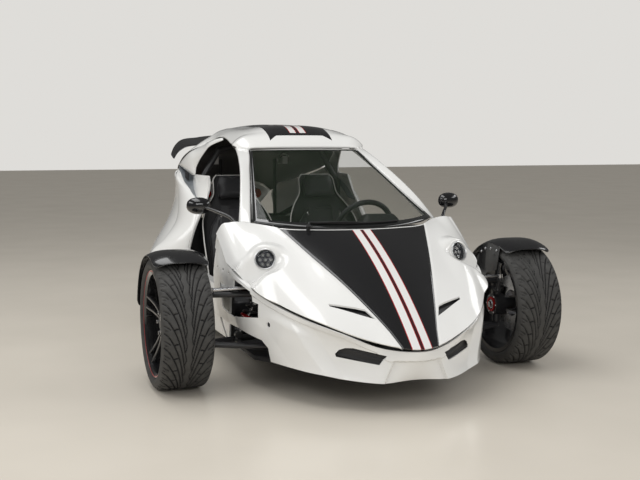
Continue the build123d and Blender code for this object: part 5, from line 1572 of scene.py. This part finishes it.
dash_pieces = [hull("dash_skin", [dash_ring(x) for x in np.linspace(-478, 478, 121)], 45, MOULDED)]
for spots, y, z in ((GAUGES, 420, 724), (VENTS, 431, 668)):
    for x, size in spots:
        at, back = (x, y, z), (0, 1, 0.12)
        dash_pieces.append(turned("ring", [(-6, size), (6, size + 1), (8, size - 2), (7, size - 5),
                                           (0, size - 6), (-6, size - 6), (-6, size)], at, back, 40, CHROME))
        dash_pieces.append(turned("dial", [(-8, 0.01), (-8, size - 3), (1, size - 4), (1, 0.01)], at, back,
                                  32, DARK))
dash_all = joined("dash_shelf", dash_pieces)
part(dash_all, "chassis", "trim_black", "dashboard")
print("dash", len(dash_all.data.polygons), "faces")

# %% [markdown]
# ## Steering wheel
# The rim is a leather tube with a stitched seam along its inside. The stitches are one small loop, repeated
# by Geometry Nodes round the rim's centre line, and made real before the piece is finished.

# %% Steering wheel
WHEEL_AT, WHEEL_TILT, WHEEL_R, GRIP = Vector((270, 550, 690)), 25.0, 160.0, 15.0
TOWARDS = Vector((0, cos(radians(WHEEL_TILT)), sin(radians(WHEEL_TILT))))
UPWARDS = Vector((0, -sin(radians(WHEEL_TILT)), cos(radians(WHEEL_TILT))))


def on_wheel(angle, reach, off=0.0):
    """Point of the steering wheel: angle from its right, reach from its middle, off towards the driver."""
    return WHEEL_AT + Vector((cos(angle), 0, 0)) * reach + UPWARDS * sin(angle) * reach + TOWARDS * off


def around(name, line_points, made, count):
    """Repeat a small mesh along a closed line with Geometry Nodes, and make it real."""
    curve = bpy.data.curves.new(name + "_line", "CURVE")
    curve.dimensions = "3D"
    spline = curve.splines.new("POLY")
    spline.points.add(len(line_points) - 1)
    for point, place in zip(spline.points, line_points):
        point.co = (*row(*place), 1)
    spline.use_cyclic_u = True
    holder = bpy.data.objects.new(name, curve)
    bpy.context.scene.collection.objects.link(holder)
    tree = bpy.data.node_groups.new(name + "_repeat", "GeometryNodeTree")
    tree.interface.new_socket("Line", in_out="INPUT", socket_type="NodeSocketGeometry")
    amount = tree.interface.new_socket("Count", in_out="INPUT", socket_type="NodeSocketInt")
    tree.interface.new_socket("Stitches", in_out="OUTPUT", socket_type="NodeSocketGeometry")
    given = tree.nodes.new("NodeGroupInput").outputs
    step = partial(node, tree, family="GeometryNode")
    points = step("CurveToPoints", {"Curve": given["Line"], "Count": given["Count"]}).outputs
    copy = step("ObjectInfo", {"Object": made}).outputs["Geometry"]
    copies = step("InstanceOnPoints", {"Points": points["Points"], "Rotation": points["Rotation"],
                                       "Instance": copy})
    real = step("RealizeInstances", {"Geometry": copies.outputs["Instances"]}).outputs["Geometry"]
    colour = step("SetMaterial", {"Geometry": real, "Material": made.data.materials[0]}).outputs["Geometry"]
    plug(tree, tree.nodes.new("NodeGroupOutput"), {"Stitches": colour})
    repeat = modified(holder, "repeat", "NODES", node_group=tree)
    repeat[amount.identifier] = count
    bpy.context.view_layer.update()
    mesh = bpy.data.meshes.new_from_object(holder.evaluated_get(bpy.context.evaluated_depsgraph_get()))
    bpy.data.objects.remove(holder)
    bpy.data.objects.remove(made)
    mesh.name = name
    return thing(name, mesh)


def wheel_spoke(turn):
    """Flat bar from the boss to the rim."""
    side_way = on_wheel(turn + pi / 2, 1) - WHEEL_AT
    rings = []
    for t in np.linspace(0, 1, 13):
        half = 20 - 7 * sin(pi * t) + 3 * t
        at = on_wheel(turn, 30 + (WHEEL_R - 30) * t, -10 + 9 * t)
        rings.append([at + side_way * half * a + TOWARDS * b for a, b in (
            (-1, -3), (1, -3), (1, 2), (0.6, 4), (-0.6, 4), (-1, 2))])
    return hull("spoke", rings, 40, SATIN_BLACK)


laps = np.linspace(0, 2 * pi, 121)[:-1]
grip = tube("grip", [on_wheel(a, WHEEL_R) for a in laps], GRIP, 28, LEATHER, closed=True)
stitch = tube("stitch", [(0, -AXLE_TO_ROW, -3), (0, -AXLE_TO_ROW, 3)], 0.7, 6, PIPING)
stitches = around("rim_stitches", [on_wheel(a, WHEEL_R - GRIP - 0.3) for a in laps], stitch, 150)
wheel_pieces = [grip, stitches, *[wheel_spoke(turn) for turn in (0, pi, 1.5 * pi)],
                turned("boss", [(-26, 0.01), (-26, 46), (-8, 46), (2, 42), (8, 30), (9, 0.01)], WHEEL_AT,
                       TOWARDS, 56, MOULDED),
                turned("shaft", [(-80, 0.01), (-80, 17), (-24, 17), (-24, 0.01)], WHEEL_AT, TOWARDS, 32,
                       STEEL)]
part(joined("steering_hoop", wheel_pieces), "steering_wheel", "trim_black", "steering_wheel")
print("steering wheel done")

# %% [markdown]
# ## Grilles and hub fittings
# A dark inner panel lies behind each opening of the front body, so no light falls through. It reuses the
# grids of the hood and the bumper, moved inwards. A white ledge runs under the rim of the hood, as the joint
# would otherwise look black. Each upright gets its axle nut, a red seal ring and the bolts of hub and
# caliper.

# %% Inner panels behind the openings
GRILLE_DEEP = 17.0
BAR_STEP = 9
LEDGE_END, LEDGE_AIM = -40, (0, 250, 0)


def inner_panel(name, grid, inwards):
    """Sheet behind a stretch of skin, with every few rows raised into a bar."""
    bars = np.where(np.arange(grid.shape[1]) % BAR_STEP < 3, 5.0, 0.0)[None, :, None]
    return thing(name, skin_mesh(name, grid + np.array(inwards) * (GRILLE_DEEP - bars)), MOULDED)


panels = []
for side, _ in SIDES:
    reach = side * np.linspace(140, 338, 34)[:, None] * np.ones((1, 60))
    panels.append(inner_panel("vent_panel", hood_grid(reach, np.linspace(0.05, 0.42, 60)), (0, 0.37, -0.93)))
    near = np.where((side * bumper[:, 20, 0] > 122) & (side * bumper[:, 20, 0] < 345))[0]
    low = np.where((bumper[near[len(near) // 2], :, 2] > 192) & (bumper[near[len(near) // 2], :, 2] < 288))[0]
    panels.append(inner_panel("intake_panel", bumper[near[0]:near[-1], low[0]:low[-1] + 1], (0, 1, 0)))
part(joined("grille_panels", panels), "chassis", "trim_black")
print("inner panels", len(panels))

# %% Ledge under the hood's rim
rim = bumper[bumper[:, 0, 1] < LEDGE_END, 0]
towards = (np.array(LEDGE_AIM) - rim) * (1, 1, 0)
towards /= np.linalg.norm(towards, axis=1, keepdims=True)
ledge = np.stack([rim + towards * reach - (0, 0, 3) for reach in (2, 18, 34)], axis=1)
part(thing("hood_ledge", skin_mesh("hood_ledge", ledge)), "chassis", "body_white", finish=WHITE)
print("ledge", len(ledge), "stations")

# %% Hub fittings
HUB_FACE, CALIPER_FACE = 782.0, 880.0


def hub_fittings(side):
    """Axle nut, seal ring and bolts on the inner face of one upright."""
    at, inwards = (side * HUB_FACE, 0, FRONT_R), (-side, 0, 0)
    pieces = [turned("seal", [(0, 27), (4, 27), (6, 29), (6, 37), (4, 39), (0, 39), (0, 27)], at, inwards,
                     56, RED_ANODISED),
              turned("washer", [(0, 0.01), (0, 22), (3, 22), (3, 0.01)], at, inwards, 40, STEEL),
              turned("axle_nut", [(3, 17), (13, 17), (15, 14.5), (15, 0.01)], at, inwards, 6, STEEL)]
    pieces += [small_bolt((side * HUB_FACE, 47 * cos(k * pi / 3), FRONT_R + 47 * sin(k * pi / 3)), inwards,
                          5.5, 5.0)
               for k in range(6)]
    pieces += [small_bolt((side * CALIPER_FACE, 128, FRONT_R + lift), inwards, 8.0, 7.0)
               for lift in (-46, 46)]
    return joined("hub_fittings", pieces)


for side, name in SIDES:
    part(hub_fittings(side), "knuckle_" + name, "cast_metal")
print("hub fittings", 2)

# %% [markdown]
# ## The tail
# Behind the roof stands the rear wing, a curved blade whose tips turn down, tilted up at its rear edge. The
# lamps are round red lenses in the end panel, and the silencer ends beside the tyre. The driven wheel gets
# its chain, made link by link along the line that wraps both sprockets.

# %% Rear wing
WING_ROWS = [(532, 1850, 1050, 112, 26), (512, 1853, 1082, 132, 32), (470, 1860, 1114, 170, 40),
             (330, 1870, 1138, 200, 46), (0, 1875, 1150, 215, 48)]
POST_X, POST_FOOT = 240, 1088.3


def wing_section(x, y, z, chord, rise):
    """Closed wing section: round nose, thin tail, its rear edge raised."""
    ring = []
    for k in range(40):
        turn = 2 * pi * k / 40
        share = 0.5 - 0.5 * cos(turn)
        thick = (22 if turn < pi else -9) * (share ** 0.5) * (1 - share) ** 0.9
        ring.append((x, y + chord * share,
                     z + rise * share ** 1.4 + thick + 3 * (1 if turn < pi else -1) * share))
    return ring


def wing_blade():
    table = [*WING_ROWS, *[(-x, *rest) for x, *rest in WING_ROWS[-2::-1]]]
    sections = np.array([wing_section(*line) for line in table])
    return hull("blade", fair_line(sections, 121, measured=sections[:, 0]), 50, BLACK_PAINT)


wing_pieces = [wing_blade()]
for side, _ in SIDES:
    wing_pieces.append(prism("post", [(1930, POST_FOOT), (2020, POST_FOOT), (2006, 1181), (1992, 1182),
                                      (1921, 1163)],
                             0, side * POST_X - 5, side * POST_X + 5, BLACK_PAINT))
    wing_pieces.append(block("foot", (34, 96, 5), (side * POST_X, 1975, POST_FOOT + 2.6), 1.5, BLACK_PAINT))
    wing_pieces += [small_bolt((side * (POST_X + shift), y, POST_FOOT + 5), (0, 0, 1), 5.5, 4.0)
                    for shift in (-11, 11) for y in (1942, 2008)]
part(joined("rear_wing_skin", wing_pieces), "chassis", "body_black", "rear_wing")
print("rear wing done")

# %% Tail lamps and exhaust
LAMP_X, LAMP_Z, PANEL_Y = 185, 782, 2445
CAN_START, CAN_END = Vector((-245, 2095, 520)), Vector((-240, 2440, 560))
PIPE = [(-214, 1700, 300), (-262, 1700, 300), (-290, 1716, 322), (-291, 1780, 420), (-291, 1880, 466),
        (-288, 2000, 498), (-262, 2070, 512), (-245, 2104, 521)]


def tail_lamp(side):
    """Red lens with stepped rings in a bright bezel, with a ring of small bulbs behind."""
    at = (side * LAMP_X, PANEL_Y, LAMP_Z)
    back = (0, 1, 0)
    lens = turned("lens", [(-18, 0.01), (-18, 32), (-2, 36.2), (3, 36.2), (5, 34), (5, 29), (7, 28), (7, 20),
                           (8.6, 19), (8.6, 9), (9.6, 8), (9.6, 0.01)], at, back, 64, TAIL_RED)
    bezel = turned("bezel", [(0, 37.6), (4, 37.6), (6, 36.4), (5, 35.2), (0, 35.2), (0, 37.6)], at, back, 72,
                   CHROME)
    dots = [turned("dot", [(4.5, 3.4), (6.6, 3.0), (7.4, 1.6), (7.6, 0.01)],
                   (side * LAMP_X + 31.4 * cos(k * pi / 8), PANEL_Y, LAMP_Z + 31.4 * sin(k * pi / 8)), back,
                   12, TAIL_RED) for k in range(16)]
    return joined("tail_lamp", [lens, bezel] + dots)


part(joined("tail_lamp_pair", both(tail_lamp)), "chassis", "lamp_red", "tail_lamps")

can_axis, long = (CAN_END - CAN_START).normalized(), (CAN_END - CAN_START).length
can = [(0, 22), (3, 36), (10, 44), (20, 46.5), (34, 47.6), (38, 46.2), (42, 47.8), (long - 42, 47.8),
       (long - 38, 46.2), (long - 34, 47.6), (long - 12, 46), (long - 3, 40), (long, 34), (long + 4, 31),
       (long + 3, 28.5), (long - 60, 28), (long - 60, 0.01)]
exhaust_pieces = [
    turned("can", can, CAN_START, can_axis, 72, STEEL),
    tube("pipe", fair_line(PIPE, 80), 22, 28, CAST),
    turned("flange", [(0, 0.01), (0, 40), (9, 40), (9, 22)], (-211, 1700, 300), (-1, 0, 0), 32, CAST)]
exhaust_pieces += [turned("strap", [(-9, 47.9), (-9, 49.6), (9, 49.6), (9, 47.9), (-9, 47.9)],
                          CAN_START + can_axis * long * share, can_axis, 72, SATIN_BLACK)
                   for share in (0.30, 0.72)]
part(joined("exhaust_system", exhaust_pieces), "chassis", "disc_steel", "exhaust")
print("tail lamps and exhaust done")

# %% Chain and sprockets
SPROCKET_AT, REAR_AXLE = (1890, 345), (2400, 332)
PITCH_SMALL, PITCH_LARGE, CHAIN_X = 55.0, 112.0, -165.0
LINKS, COG_HALF = 96, 3.2


def chain_loop(count):
    """Points (y, z) and headings at equal steps along the line that wraps both sprockets."""
    run = np.array(REAR_AXLE, float) - SPROCKET_AT
    span = np.linalg.norm(run)
    ahead = run / span
    up = np.array([-ahead[1], ahead[0]])
    tilt = np.arccos((PITCH_SMALL - PITCH_LARGE) / span)
    front = np.linspace(tilt, 2 * pi - tilt, 60)
    rear = np.linspace(-tilt, tilt, 90)
    line = [np.array(SPROCKET_AT) + PITCH_SMALL * (ahead * cos(a) + up * sin(a)) for a in front]
    line += [np.array(REAR_AXLE) + PITCH_LARGE * (ahead * cos(a) + up * sin(a)) for a in rear]
    line = np.array(line + line[:1])
    keys = chord_keys(line)
    at = np.linspace(0, keys[-1], count + 1)
    return np.stack([np.interp(at, keys, line[:, 0]), np.interp(at, keys, line[:, 1])], axis=1)


def chain_links():
    """Side plates and rollers of every link, as one mesh."""
    work = bmesh.new()
    joints = chain_loop(LINKS)
    for k in range(LINKS):
        a, b = joints[k], joints[k + 1]
        ahead = (b - a) / np.linalg.norm(b - a)
        up = np.array([-ahead[1], ahead[0]])
        outline = []
        for centre, start in ((b, -pi / 2), (a, pi / 2)):
            outline += [centre + 6.4 * (ahead * cos(start + t) + up * sin(start + t))
                        for t in np.linspace(0, pi, 6)]
            waist = (a + b) / 2 + up * (4.6 if start < 0 else -4.6)
            outline.append(waist)
        offset = 6.9 if k % 2 else 5.2
        for side in (1, -1):
            faces = []
            for x in (CHAIN_X + side * (offset - 0.75), CHAIN_X + side * (offset + 0.75)):
                faces.append([work.verts.new(row(x, y, z)) for y, z in outline])
            n = len(outline)
            work.faces.new(faces[0])
            work.faces.new(faces[1][::-1])
            for j in range(n):
                work.faces.new((faces[0][j], faces[1][j], faces[1][(j + 1) % n], faces[0][(j + 1) % n]))
        ends = [[work.verts.new(row(x, a[0] + 4.6 * cos(t), a[1] + 4.6 * sin(t)))
                 for t in np.linspace(0, 2 * pi, 11)[:-1]] for x in (CHAIN_X - 7.9, CHAIN_X + 7.9)]
        work.faces.new(ends[0])
        work.faces.new(ends[1][::-1])
        for j in range(10):
            work.faces.new((ends[0][j], ends[1][j], ends[1][(j + 1) % 10], ends[0][(j + 1) % 10]))
    face_out(work)
    mesh = bpy.data.meshes.new("links")
    work.to_mesh(mesh)
    work.free()
    return thing("links", mesh, CAST)


def toothed(name, centre, pitch_radius, teeth):
    """Toothed plate of a sprocket in side view."""
    outline = []
    for k in range(teeth * 4):
        turn = 2 * pi * k / (teeth * 4)
        reach = pitch_radius + (3.2, 5.0, 3.2, -5.0)[k % 4]
        outline.append((centre[0] + reach * cos(turn), centre[1] + reach * sin(turn)))
    return prism(name, outline, 0, CHAIN_X - COG_HALF, CHAIN_X + COG_HALF, STEEL)


front_cog = toothed("front_cog", SPROCKET_AT, PITCH_SMALL, 22)
shaft = turned("shaft", [(0, 0.01), (0, 15), (84, 15), (86, 13), (86, 0.01)], (-90.3, *SPROCKET_AT),
               (-1, 0, 0), 32, STEEL)
nut = turned("nut", [(0, 22), (12, 22), (14, 20), (14, 0.01)], (CHAIN_X - 3, *SPROCKET_AT), (-1, 0, 0), 6,
             CAST)
part(joined("drive_chain", [chain_links(), front_cog, shaft, nut]), "chassis", "bright_steel", "final_drive")
rear_cog = toothed("rear_cog", REAR_AXLE, PITCH_LARGE, 44)
part(joined("rear_cog_teeth", [rear_cog]), "wheel_rear", "disc_steel")
print("chain of", LINKS, "links")

# %% Rear shock
rear_spring = coil("rear_spring", (0, 2000, 452), (0, 2000, 622), 25.0, 4.6, 7, 0.03, 0.97,
                   RED_ANODISED)
rear_damper = turned("rear_damper", [(0, 0.01), (0, 22), (10, 26), (14, 26), (16, 12), (96, 12), (98, 19),
                                     (160, 19), (164, 27), (172, 27), (188, 20), (190, 0.01)],
                     (0, 2000, 440.5), (0, 0, 1), 40, STEEL)
part(joined("rear_coilover", [rear_spring, rear_damper]), "chassis", "frame_black", "rear_shock")

# %% [markdown]
# ## Pieces that keep their exact shape
# The frame already holds the mechanical parts at their true shape. Each gets a merged copy with smooth rounds
# and crisp edges, which stands for the loose triangles of its solid, and a finish of its own.

# %% Carried over pieces
KEPT = {
    "disc_front_left": STEEL, "disc_front_right": STEEL, "rear_disc_and_sprocket": STEEL,
    "upright_left": SATIN_BLACK, "upright_right": SATIN_BLACK, "rear_mudguard": GUARD_PAINT,
    "wishbones": SATIN_BLACK, "steering_rack": STEEL, "steering_column": CAST, "side_sills": WHITE,
    "cabin_tub": MOULDED, "roll_frame": SATIN_BLACK, "front_frame": SATIN_BLACK, "engine_block": ENGINE_GREY,
    "swing_arm": SATIN_BLACK, "seat_belts": WEBBING,
}
SLOT_OF = {subpart["node"]: subpart["material_slot"] for subpart in frame["record"]["subparts"]}


def smooth_copy(solid, surface):
    """Copy of a solid, merged and smooth, which stands for it on the same body."""
    name = solid + "_skin"
    mesh = soften(frame["nodes"][solid].data.copy())
    mesh.name = name
    return part(thing(name, mesh), BODY_OF[solid], SLOT_OF[solid], solid, finish=surface)


for solid, surface in KEPT.items():
    smooth_copy(solid, surface)
print("carried over", len(KEPT))
